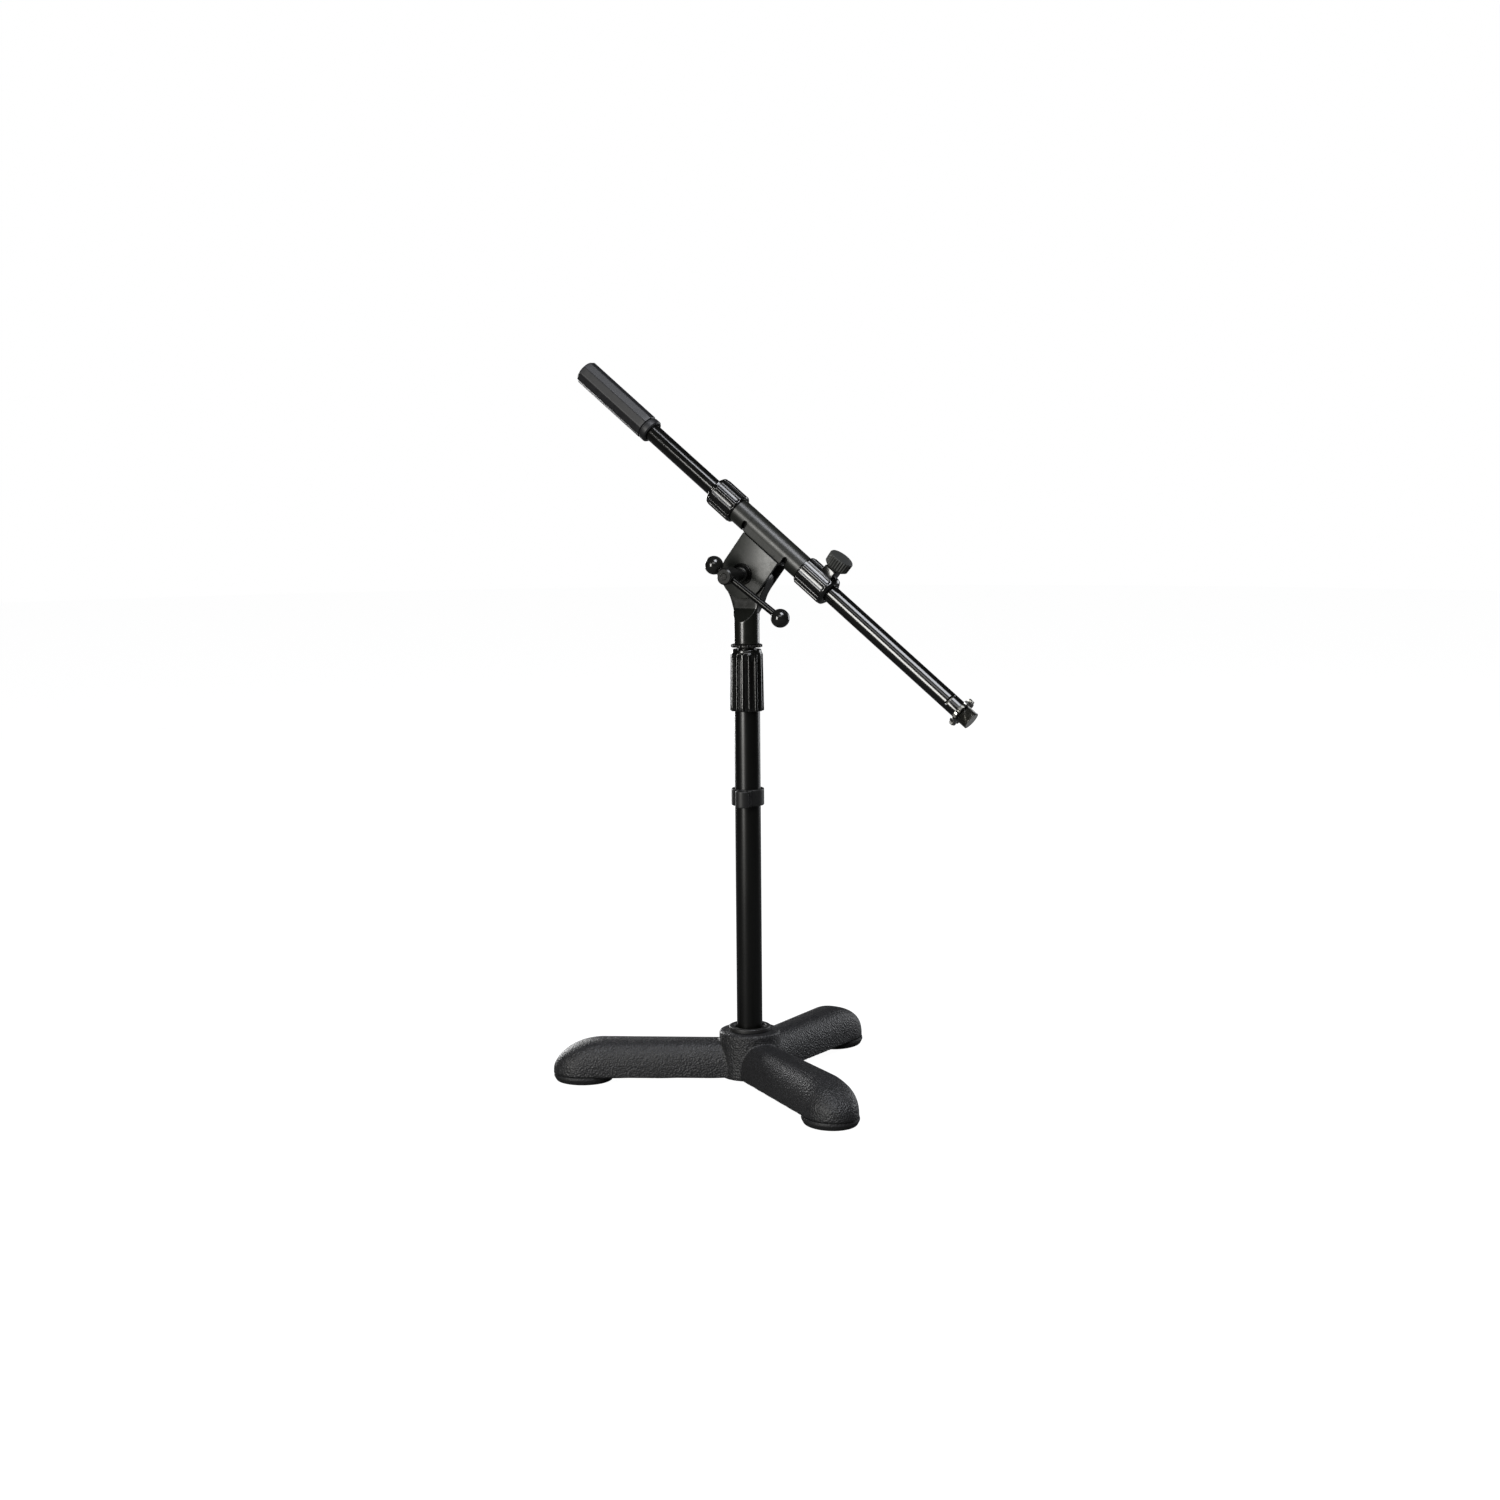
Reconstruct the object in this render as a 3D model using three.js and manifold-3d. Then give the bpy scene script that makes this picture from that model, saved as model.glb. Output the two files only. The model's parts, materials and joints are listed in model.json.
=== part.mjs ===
// Boom microphone stand: a short telescopic column on a cast tripod base, with a tilting, sliding boom.
// Millimetres, +Z up. One leg points along -X, and the origin is the middle of the bounding box's underside.
import * as THREE from "three";
import { mergeVertices } from "three/addons/utils/BufferGeometryUtils.js";
import Module from "manifold-3d";

const wasm = await Module();
wasm.setup();

// ---------- Driving dimensions ----------

const GAP = 0.3; // clearance between pieces that touch or slide
const SIDES = 24; // facets round a turned piece

// Cast base
const PAD_HEIGHT = 6.8; // the rubber pads lift the casting by this much
const PAD_HALF_LENGTH = 27; // along the leg
const PAD_HALF_WIDTH = 24;
const PAD_REACH = 147.2; // column axis to pad centre
const PAD_STEM = 4; // radius of the moulded stem that plugs into the leg
const LEG_HALF_WIDTH = 18.2; // beside the hub
const LEG_FLARE = 3.2; // how much wider each side is at the toe
const LEG_HEIGHT = 31.2;
const LEG_TIP = 174.5; // column axis to the end of the toe
const TOE_START = 130; // where the leg's back begins to slope down to the toe
const TIP_HEIGHT = 2.4; // upright part of the toe's nose
const TOE_POWER = 1.85; // roundness of the toe's profile, 2 for an ellipse
const LEG_ANGLES = [180, -60, 60]; // degrees about the column
const LEG_WALL = 6.5; // thickness left over the hollow underside
const HUB_RADIUS = 26.8;
const HUB_TOP = 46.2;
const HUB_BOTTOM = 5.8;
const HUB_FLOOR = 20; // underside of the web that the base bolt pulls against
const HUB_WEB = 6;

// Column and riser
const TUBE_RADIUS = 11.2;
const TUBE_WALL = 1.2;
const TUBE_BOTTOM = HUB_FLOOR + HUB_WEB + GAP;
const TUBE_TOP = 357.8;
const RISER_RADIUS = 7.95;
const RISER_BOTTOM = 84;
const THREAD_RADIUS = 7.9; // 5/8 inch microphone thread, without its crests
const CLUTCH_BOTTOM = 329.6;
const CLUTCH_TOP = 382.8;
const CLIP_BOTTOM = 247.1;
const CLIP_HEIGHT = 14.5;
const CLIP_AZIMUTH = -101; // direction of the cable loop, degrees
const LOCK_RING_RADIUS = 13.6;
const LOCK_RING_HEIGHT = 2.2;
const NECK_BOTTOM = CLUTCH_TOP + 2 + LOCK_RING_HEIGHT + GAP;

// Swivel head
const HEAD_YAW = -26.1; // direction of the boom's front end, degrees
const NECK_RADIUS = 11.15;
const PIVOT_HEIGHT = 447.8;
const TONGUE_RADIUS = 22;
const TONGUE_FRONT = 2.8; // front face of the tongue, ahead of the column axis
const TONGUE_THICKNESS = 13.4;
const BOOM_PLANE = TONGUE_FRONT - TONGUE_THICKNESS / 2; // middle of the tongue and of the boom
const SCREW_HOLE = 4.3;

// Boom, measured along its axis from the foot of the pivot, front end positive
const BOOM_TILT = 37.9; // front end below level, degrees
const BOOM_RISE = 37.1; // pivot to boom axis
const ROD_RADIUS = 7.62;
const ROD_WALL = 1.2;
const ROD_REAR = -199.7;
const ROD_FRONT = 223.5;
const SLEEVE_RADIUS = 10.8;
const SLEEVE_WALL = 1.4;
const SLEEVE_REAR = -58;
const SLEEVE_FRONT = 54;
const SKIRT_DEPTH = 7.4; // how far the sleeve's flat sides reach below the boom axis
const SLOT_PLACE = 24.5;
const SLOT_HALF_WIDTH = 1.9;
const CHEEK_HALF_LENGTH = 21;
const CHEEK_OUTSIDE = 10.9;
const CHEEK_THICKNESS = 2.5;
const BRACKET_TOP = BOOM_RISE - SKIRT_DEPTH - 0.6;
const REAR_COLLAR = [-68.4, -40.3];
const FRONT_COLLAR = [39.8, 71.7];
const KNOB_PLACE = 61.9;
const KNOB_RADIUS = 11.2;
const KNOB_SPAN = [20.5, 32]; // above the boom axis
const GRIP_SPAN = [-235.2, -155.5];
const GRIP_RADIUS = 11.2; // to the corners between its flats
const GRIP_RING_FRONT = -148.5;
const STUB_END = 237;
const MIC_RING_RADIUS = 13.5;

// Clamp screw with its sliding T-bar, measured from the boom's middle plane
const WASHER_RADIUS = 9.5;
const SCREW_BOSS = [28.2, 43];
const SCREW_BOSS_RADIUS = 7.25;
const BAR_PLACE = 35.9;
const BAR_RADIUS = 3;
const BAR_TILT = 34; // slope below level, degrees
const BALL_RADIUS = 8;
const BALL_SPACING = 76;
const BALL_AT_STOP = -(SCREW_BOSS_RADIUS + BALL_RADIUS + GAP);

const rad = THREE.MathUtils.degToRad;

// ---------- Solids ----------

// The manifold-3d solid of a closed three.js geometry, with its faces turned to point out.
function solidOf(geometry) {
  const bare = geometry.index ? geometry.toNonIndexed() : geometry.clone();
  bare.deleteAttribute("normal");
  bare.deleteAttribute("uv");
  const merged = mergeVertices(bare, 1e-4);
  const points = merged.getAttribute("position");
  const corners = Array.from(merged.index.array);
  const [a, b, c] = [new THREE.Vector3(), new THREE.Vector3(), new THREE.Vector3()];
  let volume = 0;
  for (let i = 0; i < corners.length; i += 3) {
    a.fromBufferAttribute(points, corners[i]);
    b.fromBufferAttribute(points, corners[i + 1]);
    c.fromBufferAttribute(points, corners[i + 2]);
    volume += a.dot(b.cross(c));
  }
  if (volume < 0) corners.reverse();
  const triVerts = new Uint32Array(corners);
  return new wasm.Manifold(new wasm.Mesh({ numProp: 3, vertProperties: points.array, triVerts }));
}

function geometryOf(solid) {
  const { vertProperties, triVerts } = solid.getMesh();
  return new THREE.BufferGeometry()
    .setAttribute("position", new THREE.BufferAttribute(vertProperties, 3))
    .setIndex(new THREE.BufferAttribute(triVerts, 1));
}

const join = (first, ...others) =>
  geometryOf(others.reduce((sum, other) => sum.add(solidOf(other)), solidOf(first)));

const cut = (first, ...tools) =>
  geometryOf(tools.reduce((rest, tool) => rest.subtract(solidOf(tool)), solidOf(first)));

const common = (first, second) => geometryOf(solidOf(first).intersect(solidOf(second)));

// A solid turned about Z from [radius, height] points that start and end on the axis or close on themselves.
function turned(profile, sides = SIDES) {
  const points = profile.map(([radius, height]) => new THREE.Vector2(radius, height));
  return new THREE.LatheGeometry(points, sides).rotateX(Math.PI / 2);
}

const rod = (radius, from, to, sides = SIDES) =>
  turned([[0, from], [radius, from], [radius, to], [0, to]], sides);

const pipe = (inside, outside, from, to, sides = SIDES) =>
  turned([[inside, from], [outside, from], [outside, to], [inside, to], [inside, from]], sides);

// The same solid turned to lie along X, or along the pivot's axis towards the front of the head.
const alongX = (geometry) => geometry.rotateY(Math.PI / 2);
const alongPivot = (geometry) => geometry.rotateX(Math.PI / 2);

const block = (x, y, z) =>
  new THREE.BoxGeometry(x[1] - x[0], y[1] - y[0], z[1] - z[0])
    .translate((x[0] + x[1]) / 2, (y[0] + y[1]) / 2, (z[0] + z[1]) / 2);

// An outline in X and Y drawn up Z.
const drawnUp = (outline, from, to, steps = 1) =>
  new THREE.ExtrudeGeometry(outline, { depth: to - from, steps, bevelEnabled: false, curveSegments: 14 })
    .translate(0, 0, from);

// An outline in X and Z drawn along the pivot's axis, from one distance ahead of the origin to another.
const drawnForward = (outline, from, to) => drawnUp(outline, from, to).rotateX(Math.PI / 2);

// A round outline with equal teeth or ribs: each has a crest and a root, and sloping sides between them.
function toothedOutline(count, crestRadius, rootRadius, crestShare = 0.5, slopeShare = 0.12) {
  const pitch = (2 * Math.PI) / count;
  const crest = crestShare / 2;
  const root = crest + slopeShare;
  const corners = [[-root, rootRadius], [-crest, crestRadius], [crest, crestRadius], [root, rootRadius]];
  const points = [];
  for (let tooth = 0; tooth < count; tooth++) {
    for (const [share, radius] of corners) {
      const angle = (tooth + share) * pitch;
      points.push(new THREE.Vector2(radius * Math.cos(angle), radius * Math.sin(angle)));
    }
  }
  return new THREE.Shape(points);
}

// ---------- Finishes ----------

const finish = (color, roughness, metalness) => () =>
  new THREE.MeshStandardMaterial({ color, roughness, metalness });

const CAST_POWDER = finish("#343435", 0.75, 0.1);
const TUBE_PAINT = finish("#171717", 0.32, 0.3);
const BRACKET_PAINT = finish("#2f302d", 0.42, 0.3);
const GLOSS_PLASTIC = finish("#151515", 0.25, 0);
const MATTE_PLASTIC = finish("#2a2a2a", 0.6, 0);
const RUBBER = finish("#1d1d1e", 0.85, 0);
const GRIP_PLASTIC = finish("#262628", 0.5, 0);
const NYLON = finish("#3b3b3b", 0.55, 0);
const DARK_STEEL = finish("#3a3a3a", 0.35, 0.9);
const BARE_STEEL = finish("#9a9a98", 0.35, 1);

function piece(parent, name, geometry, material) {
  const shaded = geometry.index ? geometry.toNonIndexed() : geometry;
  shaded.computeVertexNormals();
  const mesh = new THREE.Mesh(shaded, material());
  mesh.name = name;
  parent.add(mesh);
  return mesh;
}

function group(parent, set = () => {}) {
  const made = new THREE.Group();
  set(made);
  parent.add(made);
  return made;
}

// ---------- Base ----------

// Upper half of a squarish oval: upright sides and a rounded back.
function archOutline(halfWidth, height) {
  const power = 2 / 2.7;
  const segments = 14;
  const points = [];
  for (let i = 0; i <= segments; i++) {
    const angle = (Math.PI * i) / segments;
    const x = Math.sign(Math.cos(angle)) * Math.abs(Math.cos(angle)) ** power;
    points.push(new THREE.Vector2(x * halfWidth, Math.sin(angle) ** power * height));
  }
  return new THREE.Shape(points);
}

// A leg along X: an arch drawn out from the hub, rounded off in plan and lowered in profile towards the toe.
function legSolid() {
  const toeSteps = 6;
  const lastAngle = rad(86);
  const steps = toeSteps + 1;
  const geometry = new THREE.ExtrudeGeometry(archOutline(1, 1), { depth: steps, steps, bevelEnabled: false });
  const points = geometry.getAttribute("position");
  const toeRadius = LEG_TIP - PAD_REACH;
  for (let i = 0; i < points.count; i++) {
    const step = Math.round(points.getZ(i));
    const slope = step < 1 ? 0 : Math.sin((lastAngle * (step - 1)) / toeSteps);
    const reach = step < 1 ? 0 : TOE_START + (LEG_TIP - TOE_START) * slope;
    const flare = LEG_FLARE * Math.min(1, reach / PAD_REACH);
    const rounding = Math.sqrt(1 - (Math.max(0, reach - PAD_REACH) / toeRadius) ** 2);
    const width = (LEG_HALF_WIDTH + flare) * rounding;
    const fall = (1 - slope ** TOE_POWER) ** (1 / TOE_POWER);
    const height = TIP_HEIGHT + (LEG_HEIGHT - TIP_HEIGHT) * fall;
    points.setXYZ(i, reach, points.getX(i) * width, PAD_HEIGHT + points.getY(i) * height);
  }
  return geometry;
}

// The hollow under a leg, and the hole for its pad's stem.
function legTools() {
  const hollow = drawnUp(archOutline(LEG_HALF_WIDTH - LEG_WALL, LEG_HEIGHT - LEG_WALL), HUB_RADIUS, 112);
  hollow.rotateX(Math.PI / 2).rotateZ(Math.PI / 2).translate(0, 0, PAD_HEIGHT);
  return [hollow, rod(PAD_STEM + GAP, 0, 15, 12).translate(PAD_REACH, 0, 0)];
}

function baseCasting() {
  const hub = rodWithSoftTop(HUB_RADIUS, HUB_BOTTOM, HUB_TOP);
  const tools = [
    rod(TUBE_RADIUS + GAP, HUB_FLOOR + HUB_WEB, HUB_TOP + 1),
    rod(5.2, HUB_FLOOR - 1, HUB_TOP, 16),
    rod(19, 0, HUB_FLOOR),
  ];
  const legs = [];
  for (const angle of LEG_ANGLES) {
    legs.push(legSolid().rotateZ(rad(angle)));
    tools.push(...legTools().map((tool) => tool.rotateZ(rad(angle))));
  }
  return cut(join(hub, ...legs), ...tools);
}

function rodWithSoftTop(radius, from, to) {
  const soft = 2.4;
  return turned([[0, from], [radius, from], [radius, to - soft], [radius - 0.7, to - 0.7],
    [radius - soft, to], [0, to]], 36);
}

// An oval rubber pad, longer along the leg, with the round stem that holds it.
function footPad() {
  const edge = 0.9;
  const top = PAD_HEIGHT - GAP;
  const side = PAD_HALF_WIDTH;
  const round = turned([[0, 0], [side - edge, 0], [side, edge], [side, top - edge], [side - edge, top], [0, top]]);
  return join(round.scale(PAD_HALF_LENGTH / side, 1, 1), rod(PAD_STEM, top - 1, top + 8));
}

function buildBase(stand) {
  piece(stand, "base_casting", baseCasting(), CAST_POWDER);
  LEG_ANGLES.forEach((angle, i) => {
    const pad = piece(stand, "foot_pad_" + (i + 1), footPad(), RUBBER);
    pad.position.set(PAD_REACH * Math.cos(rad(angle)), PAD_REACH * Math.sin(rad(angle)), 0);
    pad.rotation.z = rad(angle);
  });
  const washerTop = HUB_FLOOR - GAP;
  const washerHeight = 1.5;
  const headTop = washerTop - washerHeight - GAP;
  const headHeight = 6.5;
  const bolt = join(rod(9.8, headTop - headHeight, headTop, 6), rod(4.7, headTop - 1, HUB_TOP - 5, 16));
  piece(stand, "base_bolt", bolt, DARK_STEEL);
  piece(stand, "base_washer", pipe(5.2, 12, washerTop - washerHeight, washerTop), DARK_STEEL);
  const plugRadius = TUBE_RADIUS - TUBE_WALL - GAP;
  piece(stand, "tube_plug", pipe(5, plugRadius, TUBE_BOTTOM + GAP, HUB_TOP - 3), DARK_STEEL);
  const from = HUB_TOP + GAP;
  const inside = TUBE_RADIUS + GAP;
  const ring = [[inside, from], [18.4, from], [18.4, from + 2.8], [17.6, from + 3.6], [14.6, from + 3.6],
    [14, from + 1.5], [inside, from + 1.5], [inside, from]];
  piece(stand, "base_ring", turned(ring), MATTE_PLASTIC);
}

// ---------- Column ----------

function clutchGrip() {
  const ribs = 14;
  const shoulder = CLUTCH_TOP - 3.6;
  const outline = toothedOutline(ribs, 14, 12.95, 0.42, 0.1);
  const ribbed = drawnUp(outline, CLUTCH_BOTTOM, shoulder);
  const points = ribbed.getAttribute("position");
  const flare = 14.75 / 14; // the grip is a little wider at its foot
  for (let i = 0; i < points.count; i++) {
    if (points.getZ(i) > CLUTCH_BOTTOM + 1) continue;
    points.setXY(i, points.getX(i) * flare, points.getY(i) * flare);
  }
  const cap = turned([[0, shoulder - 2], [13.2, shoulder - 2], [13.7, shoulder], [13.2, shoulder + 1.2],
    [12.6, shoulder + 1.9], [12.4, CLUTCH_TOP], [0, CLUTCH_TOP]]);
  const bore = turned([[0, CLUTCH_BOTTOM - 1], [12.1, CLUTCH_BOTTOM - 1], [12.1, TUBE_TOP + 14.3],
    [9.8, CLUTCH_TOP - 2.8], [8.4, CLUTCH_TOP - 2.8], [8.4, CLUTCH_TOP + 1], [0, CLUTCH_TOP + 1]]);
  return cut(join(ribbed, cap), bore);
}

function clutchCollet() {
  const foot = TUBE_TOP + 14.6;
  const ring = turned([[8.25, foot], [11.3, foot], [9.3, foot + 6.2], [8.25, foot + 6.2], [8.25, foot]]);
  return cut(ring, block([0, 20], [-0.8, 0.8], [foot - 1, foot + 8]));
}

// A snap-on band, open at the back, with a smaller loop at the front for a cable.
function cableClip() {
  const inside = TUBE_RADIUS + GAP;
  const outside = 14.25;
  const loopPlace = 16.2;
  const loopOutside = 6.8;
  const loopInside = 3.9;
  const top = CLIP_HEIGHT;
  const body = join(pipe(inside, outside, 0, top), rod(loopOutside, 0, top).translate(loopPlace, 0, 0));
  const backGap = new THREE.Shape()
    .moveTo(0, 0)
    .lineTo(-30, 26)
    .lineTo(-30, -26);
  return cut(body, rod(inside, -1, top + 1), rod(loopInside, -1, top + 1, 16).translate(loopPlace, 0, 0),
    block([loopPlace, loopPlace + 3], [0, loopOutside + 2], [-1, top + 1]), drawnUp(backGap, -1, top + 1));
}

function buildColumn(stand) {
  piece(stand, "column_tube", pipe(TUBE_RADIUS - TUBE_WALL, TUBE_RADIUS, TUBE_BOTTOM, TUBE_TOP, 32), TUBE_PAINT);
  const clip = piece(stand, "cable_clip", cableClip(), MATTE_PLASTIC);
  clip.position.z = CLIP_BOTTOM;
  clip.rotation.z = rad(CLIP_AZIMUTH);
  const coreRadius = TUBE_RADIUS - TUBE_WALL - GAP;
  const core = turned([[8.25, TUBE_TOP - 24], [coreRadius, TUBE_TOP - 24], [coreRadius, TUBE_TOP + GAP],
    [11.8, TUBE_TOP + GAP], [11.8, TUBE_TOP + 14.3], [8.25, TUBE_TOP + 14.3], [8.25, TUBE_TOP - 24]]);
  piece(stand, "clutch_core", core, NYLON);
  piece(stand, "clutch_collet", clutchCollet(), NYLON);
  piece(stand, "clutch_grip", clutchGrip(), GLOSS_PLASTIC);

  const riserTop = CLUTCH_TOP + 0.5;
  piece(stand, "riser_tube", pipe(RISER_RADIUS - 1.2, RISER_RADIUS, RISER_BOTTOM, riserTop), TUBE_PAINT);
  piece(stand, "riser_bushing", pipe(RISER_RADIUS + GAP, coreRadius, RISER_BOTTOM, RISER_BOTTOM + 16), NYLON);
  const plugRadius = RISER_RADIUS - 1.2 - GAP;
  const shoulder = riserTop + GAP;
  const stud = turned([[0, riserTop - 20], [plugRadius, riserTop - 20], [plugRadius, shoulder],
    [THREAD_RADIUS, shoulder], [THREAD_RADIUS, NECK_BOTTOM + 13.5], [THREAD_RADIUS - 1, NECK_BOTTOM + 14.5],
    [0, NECK_BOTTOM + 14.5]]);
  piece(stand, "riser_stud", stud, DARK_STEEL);
  const ring = drawnUp(toothedOutline(12, LOCK_RING_RADIUS, LOCK_RING_RADIUS - 1.7), 0, LOCK_RING_HEIGHT);
  const lockRing = piece(stand, "column_lock_ring", cut(ring, rod(THREAD_RADIUS + GAP, -1, 5)), DARK_STEEL);
  lockRing.position.z = NECK_BOTTOM - GAP - LOCK_RING_HEIGHT;
}

// ---------- Swivel head ----------

// A round neck that thins to a flat round tongue, with a scoop in front where the two meet.
function swivelSocket() {
  const shoulder = 420;
  const blendAngle = rad(212); // where the neck's flank leaves the tongue's round
  const outline = new THREE.Shape()
    .moveTo(-NECK_RADIUS + 0.4, shoulder - 12)
    .lineTo(NECK_RADIUS - 0.4, shoulder - 12)
    .quadraticCurveTo(NECK_RADIUS - 0.4, shoulder, -TONGUE_RADIUS * Math.cos(blendAngle),
      PIVOT_HEIGHT + TONGUE_RADIUS * Math.sin(blendAngle))
    .absarc(0, PIVOT_HEIGHT, TONGUE_RADIUS, Math.PI - blendAngle, blendAngle, false)
    .quadraticCurveTo(-NECK_RADIUS + 0.4, shoulder, -NECK_RADIUS + 0.4, shoulder - 12);
  const tongue = drawnForward(outline, TONGUE_FRONT - TONGUE_THICKNESS, TONGUE_FRONT);
  const neck = rod(NECK_RADIUS, NECK_BOTTOM, shoulder + 2, 32);
  const scoop = new THREE.Shape()
    .moveTo(TONGUE_FRONT, 418)
    .lineTo(12, 406)
    .lineTo(30, 406)
    .lineTo(30, 430)
    .lineTo(TONGUE_FRONT, 430);
  const scoopTool = drawnUp(scoop, -30, 30).rotateX(Math.PI / 2).rotateZ(-Math.PI / 2);
  const bolt = alongPivot(rod(SCREW_HOLE, -30, 30)).translate(0, 0, PIVOT_HEIGHT);
  const flank = turned([[0, shoulder - 12], [NECK_RADIUS, shoulder - 12], [NECK_RADIUS, 414],
    [NECK_RADIUS + 3, 422], [26, 434], [26, 472], [0, 472]], 32);
  return cut(join(neck, common(tongue, flank)), scoopTool, bolt, rod(THREAD_RADIUS + GAP, NECK_BOTTOM - 1, NECK_BOTTOM + 15));
}

function buildHead(head) {
  piece(head, "swivel_socket", swivelSocket(), BRACKET_PAINT);
  const from = TONGUE_THICKNESS / 2 + 0.2;
  const to = CHEEK_OUTSIDE - CHEEK_THICKNESS - 0.2;
  for (const [name, inner, outer] of [["friction_disc_front", from, to], ["friction_disc_rear", -to, -from]]) {
    const disc = alongPivot(pipe(SCREW_HOLE + 0.1, 16, inner, outer));
    piece(head, name, disc, NYLON).position.set(0, -BOOM_PLANE, PIVOT_HEIGHT);
  }
}

// ---------- Boom bracket and clamp, about the pivot ----------

// An upside-down channel: two cheeks with round feet, joined by a web under the sleeve.
function boomBracket() {
  const outline = new THREE.Shape()
    .moveTo(-CHEEK_HALF_LENGTH, BRACKET_TOP)
    .lineTo(-CHEEK_HALF_LENGTH, 0)
    .absarc(0, 0, CHEEK_HALF_LENGTH, Math.PI, 2 * Math.PI, false)
    .lineTo(CHEEK_HALF_LENGTH, BRACKET_TOP);
  const inner = CHEEK_OUTSIDE - CHEEK_THICKNESS;
  return cut(drawnForward(outline, -CHEEK_OUTSIDE, CHEEK_OUTSIDE),
    block([-30, 30], [-inner, inner], [-30, BRACKET_TOP - 2.4]), alongPivot(rod(SCREW_HOLE, -20, 20)));
}

function clampScrew(barDirection) {
  const [from, to] = SCREW_BOSS;
  const shank = turned([[0, -21.5], [3.9, -21.5], [3.9, 13], [6.6, 13], [6.6, 15.4], [5, 15.4], [5, from],
    [SCREW_BOSS_RADIUS, from], [SCREW_BOSS_RADIUS, to - 1.4], [SCREW_BOSS_RADIUS - 1.4, to], [0, to]]);
  const barHole = alongX(rod(BAR_RADIUS + GAP, -12, 12, 16)).rotateY(barDirection).translate(0, -BAR_PLACE, 0);
  return cut(alongPivot(shank), barHole);
}

function buildBracket(bracket) {
  piece(bracket, "boom_bracket", boomBracket(), BRACKET_PAINT);
  const outer = CHEEK_OUTSIDE;
  piece(bracket, "pivot_washer", alongPivot(pipe(4.3, WASHER_RADIUS, outer + 0.2, outer + 1.8)), DARK_STEEL);
  const rearWasher = pipe(4.3, WASHER_RADIUS, -outer - 1.7, -outer - GAP);
  piece(bracket, "rear_pivot_washer", alongPivot(rearWasher), DARK_STEEL);
  const nut = cut(rod(7.5, -outer - 8.5, -outer - 2, 6), rod(3.9 + GAP, -outer - 9, -outer - 1));
  piece(bracket, "pivot_nut", alongPivot(nut), DARK_STEEL);

  const barDirection = rad(BAR_TILT - BOOM_TILT);
  piece(bracket, "clamp_screw", clampScrew(barDirection), DARK_STEEL);
  const bar = group(bracket, (made) => {
    made.position.y = -BAR_PLACE;
    made.rotation.y = barDirection;
  });
  const farBall = BALL_AT_STOP + BALL_SPACING;
  piece(bar, "tommy_bar", alongX(rod(BAR_RADIUS, BALL_AT_STOP + 1, farBall - 1, 16)), DARK_STEEL);
  for (const [name, place, inward] of [["bar_ball_rear", BALL_AT_STOP, 1], ["bar_ball_front", farBall, -1]]) {
    const bore = rod(BAR_RADIUS + GAP, -0.5, BALL_RADIUS + 1, 16).rotateY((inward * Math.PI) / 2);
    const ball = new THREE.SphereGeometry(BALL_RADIUS, 16, 10);
    piece(bar, name, cut(ball, bore), GLOSS_PLASTIC).position.x = place;
  }
}

// ---------- Sleeve, collars and sliding rod, about the boom axis ----------

// A tube whose lower wall is opened between two cross slots into flat sides that meet the bracket.
function boomSleeve() {
  const inside = SLEEVE_RADIUS - SLEEVE_WALL;
  const slotTop = -1.3;
  const reach = SLOT_PLACE + SLOT_HALF_WIDTH;
  const skirt = SLOT_PLACE - SLOT_HALF_WIDTH;
  const tube = alongX(pipe(inside, SLEEVE_RADIUS, SLEEVE_REAR, SLEEVE_FRONT, 32));
  const slotEnd = (x) => alongPivot(rod(SLOT_HALF_WIDTH, -15, 15, 12)).translate(x, 0, slotTop);
  const opened = cut(tube, block([-reach, reach], [-15, 15], [-15, slotTop]), slotEnd(-SLOT_PLACE),
    slotEnd(SLOT_PLACE));
  return join(opened, block([-skirt, skirt], [inside, SLEEVE_RADIUS], [-SKIRT_DEPTH, -0.5]),
    block([-skirt, skirt], [-SLEEVE_RADIUS, -inside], [-SKIRT_DEPTH, -0.5]));
}

function rearCollar() {
  const [from, to] = REAR_COLLAR;
  const ribbed = drawnUp(toothedOutline(12, 13.7, 12.6, 0.55, 0.1), from + 3, to - 1.5);
  const core = turned([[0, from], [10.6, from], [12.4, from + 1], [13.1, from + 3], [13.1, to - 1.5], [12.3, to],
    [0, to]]);
  const bore = turned([[0, from - 1], [ROD_RADIUS + GAP, from - 1], [ROD_RADIUS + GAP, from + 2.2],
    [11.1, from + 4.4], [11.1, to + 1], [0, to + 1]]);
  return alongX(cut(join(ribbed, core), bore));
}

function rearCollet() {
  const inside = ROD_RADIUS + GAP;
  const head = SLEEVE_REAR - GAP;
  const fit = SLEEVE_RADIUS - SLEEVE_WALL - GAP;
  const ring = turned([[inside, head - 7], [9.2, head - 7], [10.7, head - 5], [10.7, head], [fit, head],
    [fit, head + 24], [inside, head + 24], [inside, head - 7]]);
  return alongX(cut(ring, block([0, 20], [-0.8, 0.8], [head - 8, head + 4])));
}

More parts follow.
